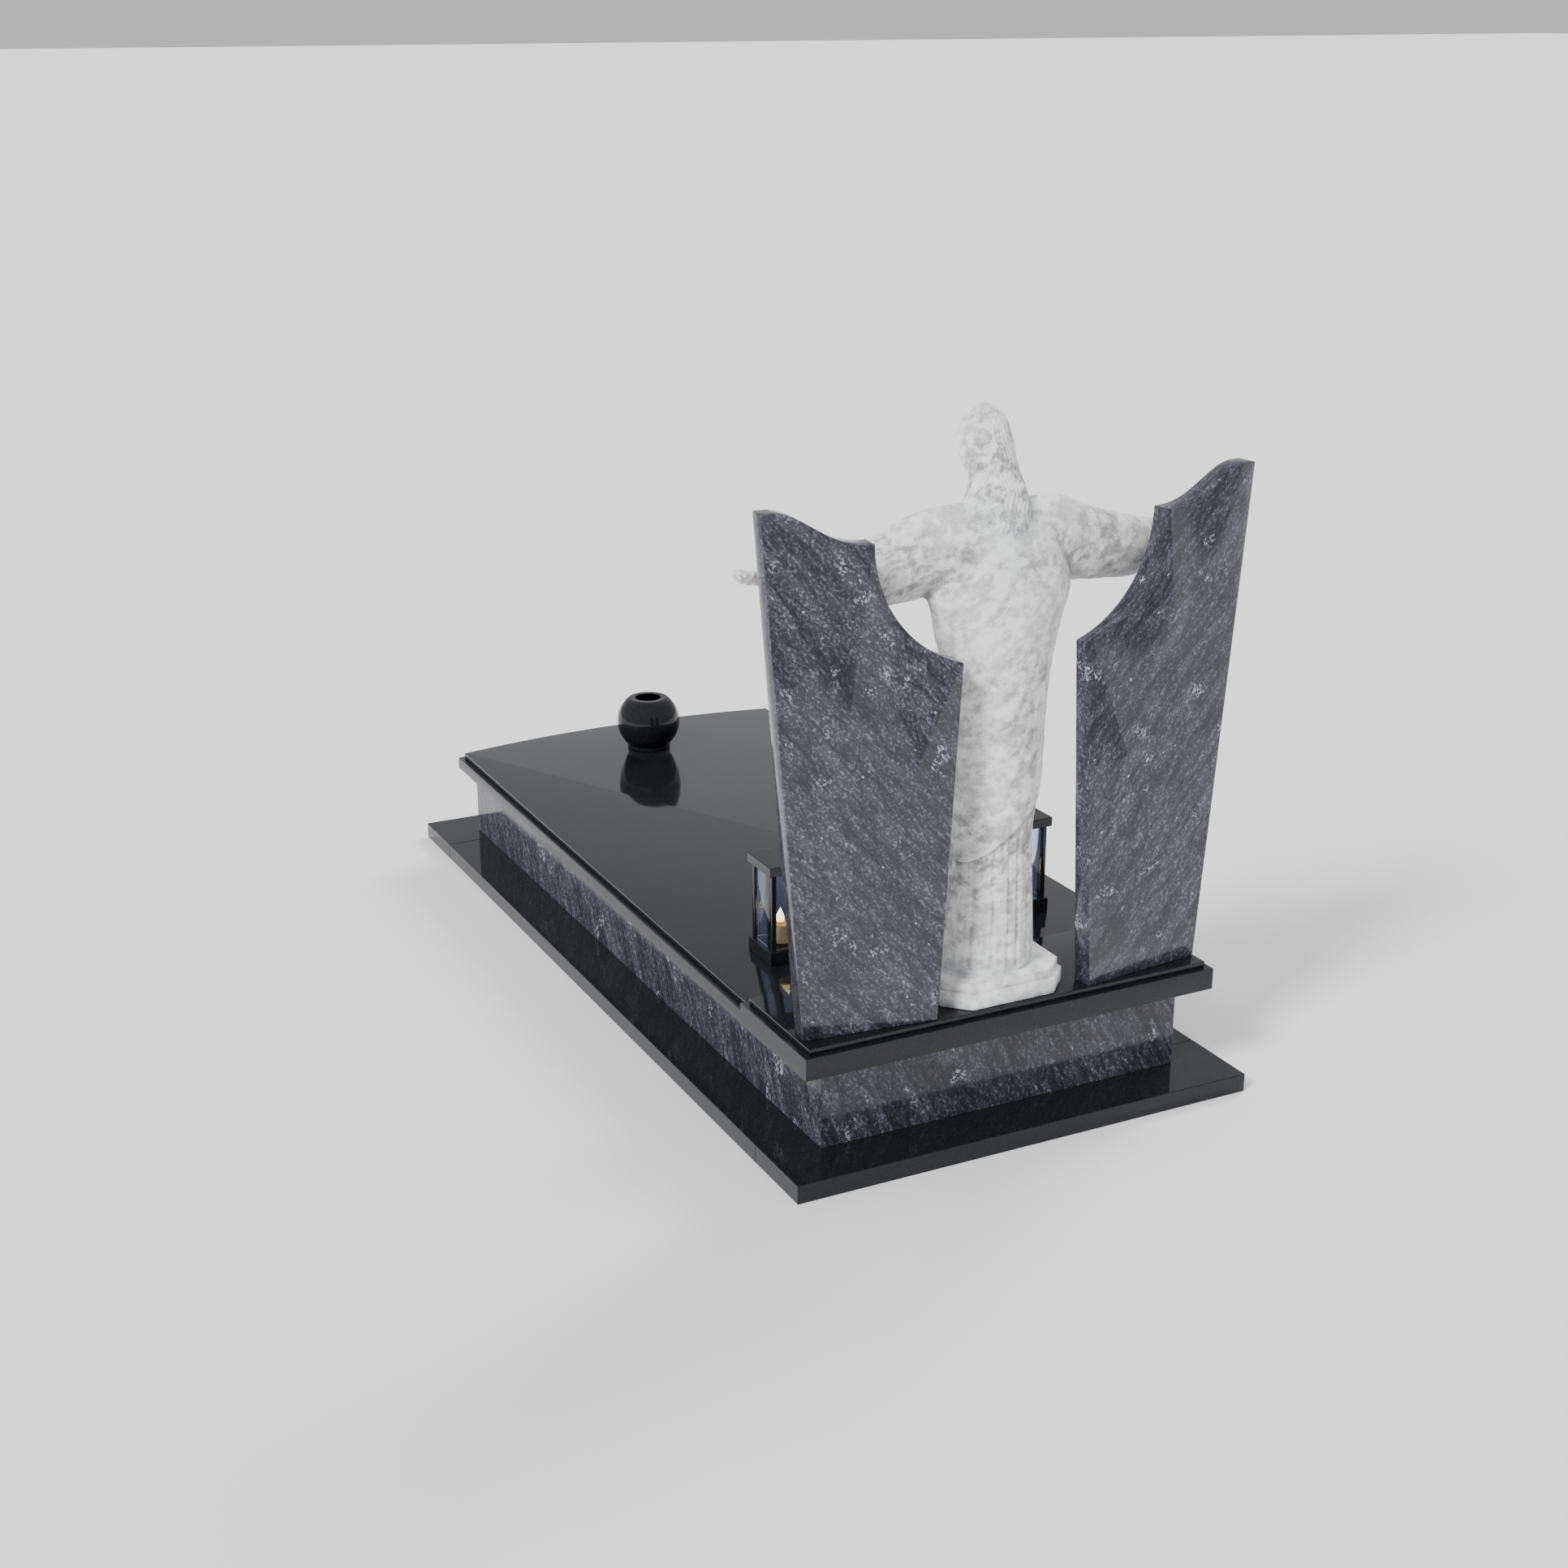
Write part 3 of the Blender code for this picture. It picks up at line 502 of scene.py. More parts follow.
def makeCoverSlab(paint):
    low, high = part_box("cover_slab")
    steps = slabs["bowSteps"]
    rings = []
    for inset, z in steppedLevels(low.z, slabs["coverBand"], high.z):
        headHalf = high.x - inset
        footHalf = high.x - slabs["coverTaper"] - inset
        corner = low.y + slabs["coverBow"] + inset
        ring = [(headHalf, high.y, z), (-headHalf, high.y, z)]
        for i in range(steps + 1):
            across = 2 * i / steps - 1
            ring.append((footHalf * across, corner - slabs["coverBow"] * (1 - across * across), z))
        rings.append(ring)
    mesh = ringBody("coverSlab", rings)
    asPiece("coverSlab", mesh, paint, ["cover_slab"], 50)


# Tablets
tablet = {
    "thickness": 0.043,
    "footWidth": 0.268,
    "height": 0.982,
    "lean": 0.079,
    "innerCorner": 0.168,
    "rearSetback": 0.016,
    "turn": 6.4,
    "cutHeight": 0.687,
    "cutLean": 0.034,
    "shoulderOffset": 0.139,
    "shoulderHeight": 0.916,
    "crestFlat": 0.022,
    "ogeeSkew": 1.25,
    "curveSteps": 56,
    "arris": 0.0018,
}


def tabletOutline():
    # Foot, outer edge, crest, wave down to the shoulder, and the hollow scooped below it.
    steps = tablet["curveSteps"]
    shoulder = tablet["shoulderHeight"]
    offset = tablet["shoulderOffset"]
    topOuter = tablet["footWidth"] + tablet["lean"]
    crest = topOuter - tablet["crestFlat"]
    points = [(0.0, 0.0), (tablet["footWidth"], 0.0), (topOuter, tablet["height"])]
    for i in range(steps + 1):
        share = 1 - i / steps
        swell = (1 - math.cos(math.pi * share ** tablet["ogeeSkew"])) / 2
        points.append((offset + (crest - offset) * share, shoulder + (tablet["height"] - shoulder) * swell))
    reach = offset + tablet["cutLean"]
    drop = shoulder - tablet["cutHeight"]
    radius = (reach * reach + drop * drop) / (2 * reach)
    sweep = math.atan2(drop, radius - reach)
    return points + arc(offset - radius, shoulder, radius, 0.0, -sweep, steps)[1:]


def makeTablets(paints):
    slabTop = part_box("head_slab")[1]
    for side, word in ((1, "left"), (-1, "right")):
        turn = Matrix.Rotation(math.radians(-side * tablet["turn"]), 4, "Z")
        corner = Vector((side * tablet["innerCorner"], slabTop.y - tablet["rearSetback"], slabTop.z))
        place = Matrix.Translation(corner + Vector((0, 0, slabs["clearance"]))) @ turn
        rings = []
        for y in (-tablet["thickness"], 0.0):
            rings.append([place @ Vector((side * x, y, z)) for x, z in tabletOutline()])
        mesh = roundEdges(ringBody("tablet", rings), tablet["arris"], 3, 40)
        asPiece("tablet" + word.title(), mesh, paints[word], ["tablet_" + word], 35)


# Vase
vase = {
    "radius": 0.079,
    "wall": 0.010,
    "footRadius": 0.054,
    "footHeight": 0.010,
    "mouthRadius": 0.050,
    "floor": 0.016,
    "steps": 40,
    "sides": 128,
    "rim": 0.0016,
}


def vaseProfile():
    outer = vase["radius"]
    inner = outer - vase["wall"]
    foot = vase["footRadius"]
    mouth = vase["mouthRadius"]
    rim = vase["rim"]
    drop = math.sqrt(outer**2 - foot**2)
    centre = vase["footHeight"] + drop
    high = math.acos(mouth / outer)
    top = centre + outer * math.sin(high)
    profile = [(0.0, 0.0), (foot - 0.001, 0.0), (foot, 0.001)]
    profile += arc(0.0, centre, outer, -math.asin(drop / outer), high, vase["steps"])
    profile[-1] = (profile[-1][0] + 0.0004, top - rim)
    profile += [(mouth - 0.0005, top - 0.0004), (mouth - rim, top)]
    innerHigh = math.asin((top - centre) / inner)
    innerLow = -math.asin((centre - vase["floor"]) / inner)
    mouth = inner * math.cos(innerHigh)
    profile += [(mouth + rim, top), (mouth + 0.0004, top - 0.0005)]
    profile += arc(0.0, centre, inner, innerHigh, innerLow, vase["steps"] - 1)[1:]
    return profile + [(0.0, vase["floor"])]


def turnedMesh(name, profile, sides, centre):
    body = bmesh.new()
    chain = [body.verts.new((r, 0.0, z)) for r, z in profile]
    for a, b in zip(chain, chain[1:]):
        body.edges.new((a, b))
    turning = body.verts[:] + body.edges[:]
    bmesh.ops.spin(body, geom=turning, cent=(0, 0, 0), axis=(0, 0, 1), angle=2 * math.pi, steps=sides)
    bmesh.ops.remove_doubles(body, verts=body.verts, dist=0.00001)
    bmesh.ops.translate(body, verts=body.verts, vec=centre)
    bmesh.ops.recalc_face_normals(body, faces=body.faces)
    return meshOf(body, name)


def makeVase(paint):
    low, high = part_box("vase")
    centre = ((low.x + high.x) / 2, (low.y + high.y) / 2, low.z)
    mesh = turnedMesh("vase", vaseProfile(), vase["sides"], centre)
    asPiece("graveVase", mesh, paint, ["vase"], 40)


# Lanterns
lantern = {
    "postRound": 0.0012,
    "slabArris": 0.0012,
    "paneRound": 0.0003,
    "candleRadius": 0.020,
    "candleEdge": 0.0022,
    "poolDepth": 0.0035,
    "poolRadius": 0.0155,
    "wickRadius": 0.0008,
    "wickHeight": 0.007,
    "wickRoot": 0.002,
    "flameHeight": 0.033,
    "flameRadius": 0.0062,
    "sides": 72,
}


class Tree:
    # One geometry tree, with its named inputs.
    def __init__(self, name, inputs):
        self.group = bpy.data.node_groups.new(name, "GeometryNodeTree")
        self.inputs = inputs
        self.keys = {}
        for label in inputs:
            socket = self.group.interface.new_socket(label, in_out="INPUT", socket_type="NodeSocketFloat")
            self.keys[label] = socket.identifier
        self.group.interface.new_socket("Geometry", in_out="OUTPUT", socket_type="NodeSocketGeometry")
        self.entry = self.group.nodes.new("NodeGroupInput")

    def given(self, *labels):
        return [self.entry.outputs[label] for label in labels]

    def make(self, kind, values=None, settings=None):
        return addNode(self.group, kind, settings, values).outputs[0]

    def run(self, name, geometry, material):
        real = self.make("GeometryNodeRealizeInstances", {0: geometry})
        painted = self.make("GeometryNodeSetMaterial", {0: real, "Material": material})
        leave = self.group.nodes.new("NodeGroupOutput")
        self.group.links.new(painted, leave.inputs[0])
        helper = link(bpy.data.objects.new(name, bpy.data.meshes.new(name)))
        modifier = helper.modifiers.new("grow", "NODES")
        modifier.node_group = self.group
        for label, value in self.inputs.items():
            modifier[self.keys[label]] = value
        return bakeModifiers(helper)


def uprightPrism(tree, width, depth, height, rounding):
    # Prism with rounded upright edges, standing on the origin.
    outline = tree.make("GeometryNodeCurvePrimitiveQuadrilateral", {"Width": width, "Height": depth})
    values = {"Curve": outline, "Radius": rounding, "Count": 4}
    outline = tree.make("GeometryNodeFilletCurve", values, {"mode": "POLY"})
    top = tree.make("ShaderNodeCombineXYZ", {"Z": height})
    rail = tree.make("GeometryNodeCurvePrimitiveLine", {"Start": (0.0, 0.0, 0.0), "End": top})
    return tree.make("GeometryNodeCurveToMesh", {"Curve": rail, "Profile Curve": outline, "Fill Caps": True})


def postsMesh(name, width, height, spacing, material):
    inputs = {"Width": width, "Height": height, "Spacing": spacing, "Rounding": lantern["postRound"]}
    tree = Tree(name, inputs)
    post = uprightPrism(tree, *tree.given("Width", "Width", "Height", "Rounding"))
    across, along = tree.given("Spacing", "Spacing")
    values = {"Size X": across, "Size Y": along, "Vertices X": 2, "Vertices Y": 2}
    corners = tree.make("GeometryNodeMeshGrid", values)
    posts = tree.make("GeometryNodeInstanceOnPoints", {"Points": corners, "Instance": post})
    return tree.run(name, posts, material)


def panesMesh(name, width, thickness, height, reach, material):
    inputs = {"Width": width, "Thickness": thickness, "Height": height, "Reach": reach}
    inputs["Rounding"] = lantern["paneRound"]
    tree = Tree(name, inputs)
    pane = uprightPrism(tree, *tree.given("Thickness", "Width", "Height", "Rounding"))
    sides = tree.make("GeometryNodeMeshCircle", {"Vertices": 4, "Radius": tree.given("Reach")[0]})
    index = tree.make("GeometryNodeInputIndex")
    angle = tree.make("ShaderNodeMath", {0: index, 1: math.pi / 2}, {"operation": "MULTIPLY"})
    turn = tree.make("ShaderNodeCombineXYZ", {"Z": angle})
    panes = tree.make("GeometryNodeInstanceOnPoints", {"Points": sides, "Instance": pane, "Rotation": turn})
    return tree.run(name, panes, material)


def candleProfile(height):
    # A cylinder with a soft edge, round a shallow pool.
    radius = lantern["candleRadius"]
    edge = lantern["candleEdge"]
    profile = [(0.0, 0.0), (radius - 0.0006, 0.0), (radius, 0.0006)]
    profile += arc(radius - edge, height - edge, edge, 0.0, math.pi / 2, 6)
    for i in range(1, 9):
        share = i / 8
        dip = lantern["poolDepth"] * math.sin(share * math.pi / 2) ** 1.5
        profile.append((lantern["poolRadius"] * (1 - share), height - dip))
    return profile


def flameProfile(height):
    profile = []
    for i in range(25):
        share = i / 24
        swell = math.sin(math.pi * share ** 0.62) ** 0.9 * (1 - 0.42 * share)
        profile.append((lantern["flameRadius"] * max(swell, 0.0) * 1.25, height * share))
    profile[0] = (0.0, 0.0)
    profile[-1] = (0.0, height)
    return profile


def makeLantern(side, paints):
    prefix = "lantern_" + side + "_"
    title = "lantern" + side.title()

    def place(part, mesh, paint, slot, nodes, smoothBelow=None):
        nodes = [prefix + node for node in nodes]
        asPiece(title + part.title(), mesh, paints[paint], nodes, smoothBelow)

    for part in ("floor", "roof"):
        mesh = roundEdges(boxMesh(*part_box(prefix + part), part), lantern["slabArris"], 4)
        place(part, mesh, "black", "black_granite", [part])
    low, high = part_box(prefix + "post_rear_left")
    farLow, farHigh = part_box(prefix + "post_front_right")
    middle = (low + high + farLow + farHigh) / 4
    stand = Matrix.Translation((middle.x, middle.y, low.z))
    mesh = postsMesh(title + "Posts", high.x - low.x, high.z - low.z, low.x - farLow.x, paints["black"])
    mesh.transform(stand)
    corners = ["post_" + c for c in ("front_left", "rear_left", "rear_right", "front_right")]
    place("posts", mesh, "black", "black_granite", corners, 30)
    low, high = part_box(prefix + "glass_left")
    sizes = (high.y - low.y, high.x - low.x, high.z - low.z, (low.x + high.x) / 2 - middle.x)
    mesh = panesMesh(title + "Glass", *sizes, paints["glass"])
    mesh.transform(stand)
    sides = ["glass_" + c for c in ("front", "rear", "left", "right")]
    place("glass", mesh, "glass", "lantern_glass", sides, 30)

    low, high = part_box(prefix + "candle")
    height = high.z - low.z
    mesh = turnedMesh("candle", candleProfile(height), lantern["sides"], (middle.x, middle.y, low.z))
    place("candle", mesh, "wax", "candle_wax", ["candle"], 50)
    pool = low.z + height - lantern["poolDepth"]
    r = lantern["wickRadius"]
    top = lantern["wickHeight"]
    profile = [(0.0, -lantern["wickRoot"]), (r, -lantern["wickRoot"]), (r, top), (0.0, top + r)]
    mesh = turnedMesh("wick", profile, 16, (middle.x, middle.y, pool))
    place("wick", mesh, "wick", "candle_wax", [])
    glow = pool + lantern["wickHeight"] * 0.55
    paints["flame"] = makeFlame(glow + lantern["flameHeight"], glow)
    mesh = turnedMesh("flame", flameProfile(lantern["flameHeight"]), 40, (middle.x, middle.y, glow))
    place("flame", mesh, "flame", "candle_wax", [], 80)


# Fields of solid shapes, in metres: below nought inside
def lengthOf(points):
    return np.sqrt(np.einsum("ij,ij->i", points, points))


def blend(first, second, soft):
    near = np.maximum(soft - np.abs(first - second), 0.0) / soft
    return np.minimum(first, second) - near * near * soft * 0.25


def cut(first, second, soft):
    return -blend(-first, second, soft)


def ball(points, centre, sizes):
    scaled = (points - np.array(centre)) / np.array(sizes)
    out = lengthOf(scaled)
    return out * (out - 1) / np.maximum(lengthOf(scaled / np.array(sizes)), 1e-9)


def limb(points, start, end, startRadius, endRadius):
    start = np.array(start)
    along = np.array(end) - start
    share = np.clip((points - start) @ along / (along @ along), 0.0, 1.0)
    radius = startRadius + (endRadius - startRadius) * share
    return lengthOf(points - start - share[:, None] * along) - radius


def chain(points, stops, radii, soft):
    body = limb(points, stops[0], stops[1], radii[0], radii[1])
    for i in range(1, len(stops) - 1):
        body = blend(body, limb(points, stops[i], stops[i + 1], radii[i], radii[i + 1]), soft)
    return body


def addBalls(body, points, rows):
    for centre, sizes, soft in rows:
        body = blend(body, ball(points, centre, sizes), soft)
    return body


def addLimbs(body, points, rows):
    for start, end, startRadius, endRadius, soft in rows:
        body = blend(body, limb(points, start, end, startRadius, endRadius), soft)
    return body


def smoothThrough(stations, at):
    table = np.array(stations)
    keys = table[:, 0]
    values = table[:, 1:]
    slopes = np.gradient(values, keys, axis=0)
    at = np.clip(at, keys[0], keys[-1])
    i = np.clip(np.searchsorted(keys, at) - 1, 0, len(keys) - 2)
    span = (keys[i + 1] - keys[i])[:, None]
    t = (at - keys[i])[:, None] / span
    start = (2 * t**3 - 3 * t**2 + 1) * values[i] + (t**3 - 2 * t**2 + t) * span * slopes[i]
    return start + (3 * t**2 - 2 * t**3) * values[i + 1] + (t**3 - t**2) * span * slopes[i + 1]


def stepUp(value, start, end):
    share = np.clip((value - start) / (end - start), 0.0, 1.0)
    return share * share * (3 - 2 * share)


def bump(value, middle, width):
    return np.exp(-(((value - middle) / width) ** 2))


def ridge(turns, sharpness=0.75):
    return np.abs(np.sin(np.pi * turns)) ** sharpness - 0.5


def sampleField(field, low, high, step):
    # Corner values on a grid; only blocks of eight cells near the surface are worked out in full.
    low = np.array(low, float)
    block = 8
    counts = np.ceil((np.array(high) - low) / (step * block)).astype(int)
    spans = np.meshgrid(*[np.arange(n) for n in counts], indexing="ij")
    blocks = np.stack([s.ravel() for s in spans], axis=1)
    coarse = field(low + (blocks + 0.5) * step * block)
    values = np.where(coarse < 0, -1.0, 1.0).reshape(counts)
    values = values.repeat(block, 0).repeat(block, 1).repeat(block, 2)
    values = np.pad(values, ((0, 1), (0, 1), (0, 1)), mode="edge").astype(np.float32)
    near = blocks[np.abs(coarse) < step * block * 1.75]
    reach = np.stack(np.meshgrid(*[np.arange(block + 1)] * 3, indexing="ij"), axis=-1).reshape(-1, 3)
    for group in np.array_split(near, max(1, len(near) // 150)):
        cells = (group[:, None, :] * block + reach[None, :, :]).reshape(-1, 3)
        values[tuple(cells.T)] = field(low + cells * step)
    return values


def gridQuads(inside, number):
    # One quad round each grid edge that the surface crosses, facing outwards.
    faces = []
    for axis in range(3):
        u, v = (axis + 1) % 3, (axis + 2) % 3
        first = np.take(inside, range(inside.shape[axis] - 1), axis)
        second = np.take(inside, range(1, inside.shape[axis]), axis)
        edges = np.argwhere(first != second)
        keep = (edges[:, u] > 0) & (edges[:, v] > 0)
        keep &= (edges[:, u] < number.shape[u]) & (edges[:, v] < number.shape[v])
        edges = edges[keep]
        stepU, stepV = np.eye(3, dtype=int)[[u, v]]
        quad = [number[tuple((edges - a * stepU - b * stepV).T)] for a, b in ((0, 0), (1, 0), (1, 1), (0, 1))]
        quad = np.stack(quad, axis=1)
        flip = ~first[tuple(edges.T)]
        quad[flip] = quad[flip][:, ::-1]
        faces.append(quad)
    return np.concatenate(faces)


def settle(field, points, step):
    # Moves each point along the field's slope onto the surface, at most 0.6 of a cell.
    slope = np.empty_like(points)
    for axis in range(3):
        shift = np.zeros(3)
        shift[axis] = step * 0.25
        slope[:, axis] = (field(points + shift) - field(points - shift)) / (step * 0.5)
    steep = np.maximum(np.einsum("ij,ij->i", slope, slope), 0.05)
    move = -field(points)[:, None] * slope / steep[:, None]
    return points + move / np.maximum(lengthOf(move) / (step * 0.6), 1.0)[:, None]


def surfaceOf(field, low, high, step, name):
    # A mesh of quads through the field's zero, with one point in each cell that it crosses.
    values = sampleField(field, low, high, step)
    inside = values < 0
    corners = [(i, j, k) for i in (0, 1) for j in (0, 1) for k in (0, 1)]
    count = np.zeros(np.array(inside.shape) - 1, np.uint8)
    for corner in corners:
        count += inside[tuple(slice(c, c + n) for c, n in zip(corner, count.shape))]
    crossed = (count > 0) & (count < 8)
    number = np.full(crossed.shape, -1, np.int64)
    number[crossed] = np.arange(crossed.sum())
    cells = np.argwhere(crossed)
    total = np.zeros((len(cells), 3))
    hits = np.zeros(len(cells))
    for start in corners:
        for axis in [axis for axis in range(3) if start[axis] == 0]:
            end = np.array(start)
            end[axis] = 1
            a = values[tuple((cells + start).T)]
            b = values[tuple((cells + end).T)]
            change = (a < 0) != (b < 0)
            point = np.tile(np.array(start, float), (len(cells), 1))
            point[:, axis] = a / np.where(change, a - b, 1.0)
            total[change] += point[change]
            hits += change
    points = np.array(low) + (cells + total / hits[:, None]) * step
    points = settle(field, settle(field, points, step), step)
    faces = gridQuads(inside, number)

    mesh = bpy.data.meshes.new(name)
    mesh.vertices.add(len(points))
    mesh.vertices.foreach_set("co", points.astype(np.float32).ravel())
    mesh.loops.add(faces.size)
    mesh.loops.foreach_set("vertex_index", faces.astype(np.int32).ravel())
    mesh.polygons.add(len(faces))
    mesh.polygons.foreach_set("loop_start", np.arange(0, faces.size, 4, dtype=np.int32))
    mesh.update(calc_edges=True)
    mesh.validate()
    print(name, "triangles", 2 * len(faces))
    return mesh


# Statue, in shares of its height: robe and hair by level, across, back, half width and half depth;
# sleeve by distance out, level, back, half height and half depth
figure = {
    "height": 1.116,
    "soleLevel": 0.0448,
    "garmentStep": 0.0031,
    "headStep": 0.00095,
    "handStep": 0.0013,
    "footStep": 0.0016,
    "softJoin": 0.013,
    "triangles": 192000,
}
robe = [
    (0.036, 0.0, 0.018, 0.086, 0.078),
    (0.090, 0.0, 0.023, 0.081, 0.074),
    (0.139, 0.0, 0.027, 0.076, 0.072),
    (0.210, 0.0, 0.029, 0.071, 0.070),
    (0.291, 0.0, 0.029, 0.069, 0.069),
    (0.363, 0.0, 0.029, 0.078, 0.072),
    (0.434, 0.001, 0.030, 0.082, 0.073),
    (0.502, 0.003, 0.031, 0.085, 0.075),
    (0.582, 0.004, 0.034, 0.092, 0.076),
    (0.658, 0.003, 0.036, 0.110, 0.074),
    (0.699, 0.0, 0.030, 0.125, 0.071),
    (0.743, 0.0, 0.021, 0.124, 0.068),
    (0.788, 0.0, 0.013, 0.113, 0.063),
    (0.820, 0.0, 0.007, 0.092, 0.054),
    (0.845, 0.0, 0.006, 0.058, 0.042),
    (0.862, 0.0, 0.006, 0.034, 0.032),
]
sleeve = [
    (0.030, 0.784, 0.014, 0.052, 0.046),
    (0.080, 0.782, 0.012, 0.066, 0.049),
    (0.120, 0.772, 0.009, 0.067, 0.047),
    (0.161, 0.761, 0.006, 0.062, 0.042),
    (0.215, 0.748, 0.004, 0.054, 0.037),
    (0.269, 0.740, 0.002, 0.048, 0.033),
    (0.322, 0.735, -0.003, 0.041, 0.029),
    (0.372, 0.736, -0.008, 0.033, 0.026),
]
backHair = [
    (0.815, 0.0, 0.034, 0.034, 0.020),
    (0.833, 0.0, 0.028, 0.047, 0.030),
    (0.851, 0.0, 0.021, 0.049, 0.038),
    (0.869, 0.0, 0.014, 0.045, 0.042),
    (0.891, 0.0, 0.004, 0.042, 0.043),
    (0.914, 0.0, -0.008, 0.041, 0.043),
    (0.940, 0.0, -0.018, 0.040, 0.043),
    (0.967, 0.0, -0.028, 0.034, 0.038),
]


def upright(points, stations):
    # Distance sideways from an upright loft, and the angle round it, with the front at minus 90 degrees.
    s = figure["height"]
    middle = smoothThrough(stations, points[:, 2] / s) * s
    x = points[:, 0] - middle[:, 0]
    y = points[:, 1] - middle[:, 1]
    out = np.maximum(np.hypot(x / middle[:, 2], y / middle[:, 3]), 1e-6)
    return np.hypot(x, y) * (1 - 1 / out), np.arctan2(y, x)


cloth = {
    "hem": 0.300,
    "hemSlope": 0.060,
    "mantleRelief": 0.0050,
    "pleats": 17,
    "pleatRelief": 0.0062,
    "foldRelief": 0.0050,
    "sleeveRelief": 0.0052,
    "chestRelief": 0.0038,
    "rollRelief": 0.0075,
    "neckDepth": 0.0042,
    "neckRim": 0.0022,
    "hipLevel": 0.515,
    "hipAcross": 0.118,
    "cuffOut": 0.372,
    "cuffWall": 0.0045,
    "cuffDepth": 0.075,
}


def tunicPleats(angle, level, front):
    # Upright pleats round the tunic, deeper in front.
    turns = cloth["pleats"] * angle / (2 * np.pi)
    wander = 0.30 * np.sin(3 * angle + 1.0) + 0.8 * level + 0.12 * np.sin(11 * angle + 6 * level)
    fade = 1 - 0.40 * stepUp(level, 0.12, 0.30) * (1 - front)
    deep = 0.50 + 1.0 * front + (0.16 + 0.3 * front) * np.sin(7 * angle + 2)
    pleats = ridge(turns + wander, 0.7) * fade * deep + 0.22 * ridge(2 * turns + 1.4 * wander, 0.9)
    return pleats * stepUp(level, 0.045, 0.066)


def mantleFolds(x, level, angle, front):
    # Folds that fan out from the right hip in front, and soft hanging ones behind.
    rise, run = level - cloth["hipLevel"], x + cloth["hipAcross"]
    far = np.hypot(rise, run)
    fan = np.arctan2(rise, run)
    fan = fan + 0.14 * np.sin(5.3 * fan + 1.0) + 0.9 * far * far
    fanFolds = ridge(4.9 * fan + 0.30 * np.sin(20 * level) + 0.2 * np.sin(31 * x), 0.65)
    fanFolds = fanFolds * (0.75 + 2.6 * far) * (0.8 + 0.35 * np.sin(9 * fan + 14 * far))
    fanFolds += 0.30 * ridge(10.3 * fan + 0.8 * np.sin(23 * level), 0.8)
    drape = level + 0.150 * np.cos(angle) + 0.010 * np.sin(5 * angle)
    backFolds = 0.30 * ridge(drape / 0.058, 0.9) * (0.65 + 0.35 * np.sin(2 * angle + 9 * level))
    sag = (level - 0.55) + 16 * x * x
    backFolds += 0.12 * ridge(sag / 0.052, 1.2) * stepUp(level, 0.36, 0.5)
    return front * fanFolds * 1.45 + (1 - front) * backFolds


def robeLift(points, angle):
    # How far the carved folds stand out from the plain robe.
    x, _, level = points.T / figure["height"]
    front = stepUp(-np.sin(angle), -0.05, 0.55)
    hem = cloth["hem"] - cloth["hemSlope"] * np.cos(angle)
    diagonal = 0.845 - 2.3 * (0.062 - x)                 # the mantle's upper edge across the chest
    overChest = stepUp(level, diagonal - 0.006, diagonal + 0.006) * front
    mantle = stepUp(level, hem - 0.0022, hem + 0.0022) * (1 - overChest)
    roll = bump(level, diagonal - 0.018, 0.017) * front * stepUp(level, 0.50, 0.56)
    chest = ridge((x * 0.9 + 0.22 * level) / 0.021 + 0.5 * np.sin(14 * level), 0.9) * 0.55
    chest *= stepUp(level, 0.52, 0.60) * (1 - 0.6 * stepUp(level, 0.74, 0.80))
    lift = (1 - mantle) * (1 - overChest) * tunicPleats(angle, level, front) * cloth["pleatRelief"]
    lift += mantle * (cloth["mantleRelief"] + mantleFolds(x, level, angle, front) * cloth["foldRelief"])
    lift += overChest * chest * cloth["chestRelief"] + roll * cloth["rollRelief"]
    lift *= 1 - stepUp(level, 0.80, 0.835)               # none at the neck

    vee = np.abs(x) - 0.043 * stepUp(level, 0.766, 0.845)
    opening = (1 - stepUp(vee, -0.0012, 0.0012)) * front * stepUp(level, 0.766, 0.772)
    rim = bump(vee, 0.0025, 0.0028) * front * stepUp(level, 0.762, 0.772)
    return lift * (1 - opening) - opening * cloth["neckDepth"] + rim * cloth["neckRim"]


def sleeveShape(points):
    s = figure["height"]
    out = np.abs(points[:, 0]) / s
    middle = smoothThrough(sleeve, out) * s
    y = points[:, 1] - middle[:, 1]
    z = points[:, 2] - middle[:, 0]
    up = z / middle[:, 2]
    depth = middle[:, 3] * (1 - 0.18 * np.clip(-up, 0.0, 1.0))
    reach = np.maximum(np.hypot(y / depth, up), 1e-6)
    return np.hypot(y, z) * (1 - 1 / reach), y / depth, up, out


def sleeveLift(y, up, out, side):
    # Folds that hang in curves under the arm and run along it above.
    sag = 1.3 * ((out - 0.21) / 0.16) ** 2
    hanging = 0.30 + 0.70 * stepUp(-up, -0.45, 0.6)
    front = stepUp(-y, -0.3, 0.5)
    drift = (3.0 + 0.7 * side) * out + 0.22 * np.sin(34 * out + 2 * up) + 0.25 * np.sin(2.4 * up)
    folds = ridge(2.1 * up + 1.5 * sag + drift, 0.65) * hanging * (0.8 + 0.4 * np.sin(3 * up + 22 * out))
    fine = ridge(4.7 * up + 2.6 * sag + 7 * out, 0.9) * 0.32
    puckers = ridge((out - 0.10) / 0.030 + 0.6 * up * up + 0.2 * np.sin(9 * up), 1.0)
    puckers = puckers * bump(out, 0.125, 0.035) * stepUp(-up, -0.2, 0.7) * 0.5
    hem = bump(out, cloth["cuffOut"] - 0.006, 0.0035) * 0.5
    folds = (folds + fine) * (0.42 + 0.75 * front)
    return cloth["mantleRelief"] + cloth["sleeveRelief"] * (folds + puckers + hem)


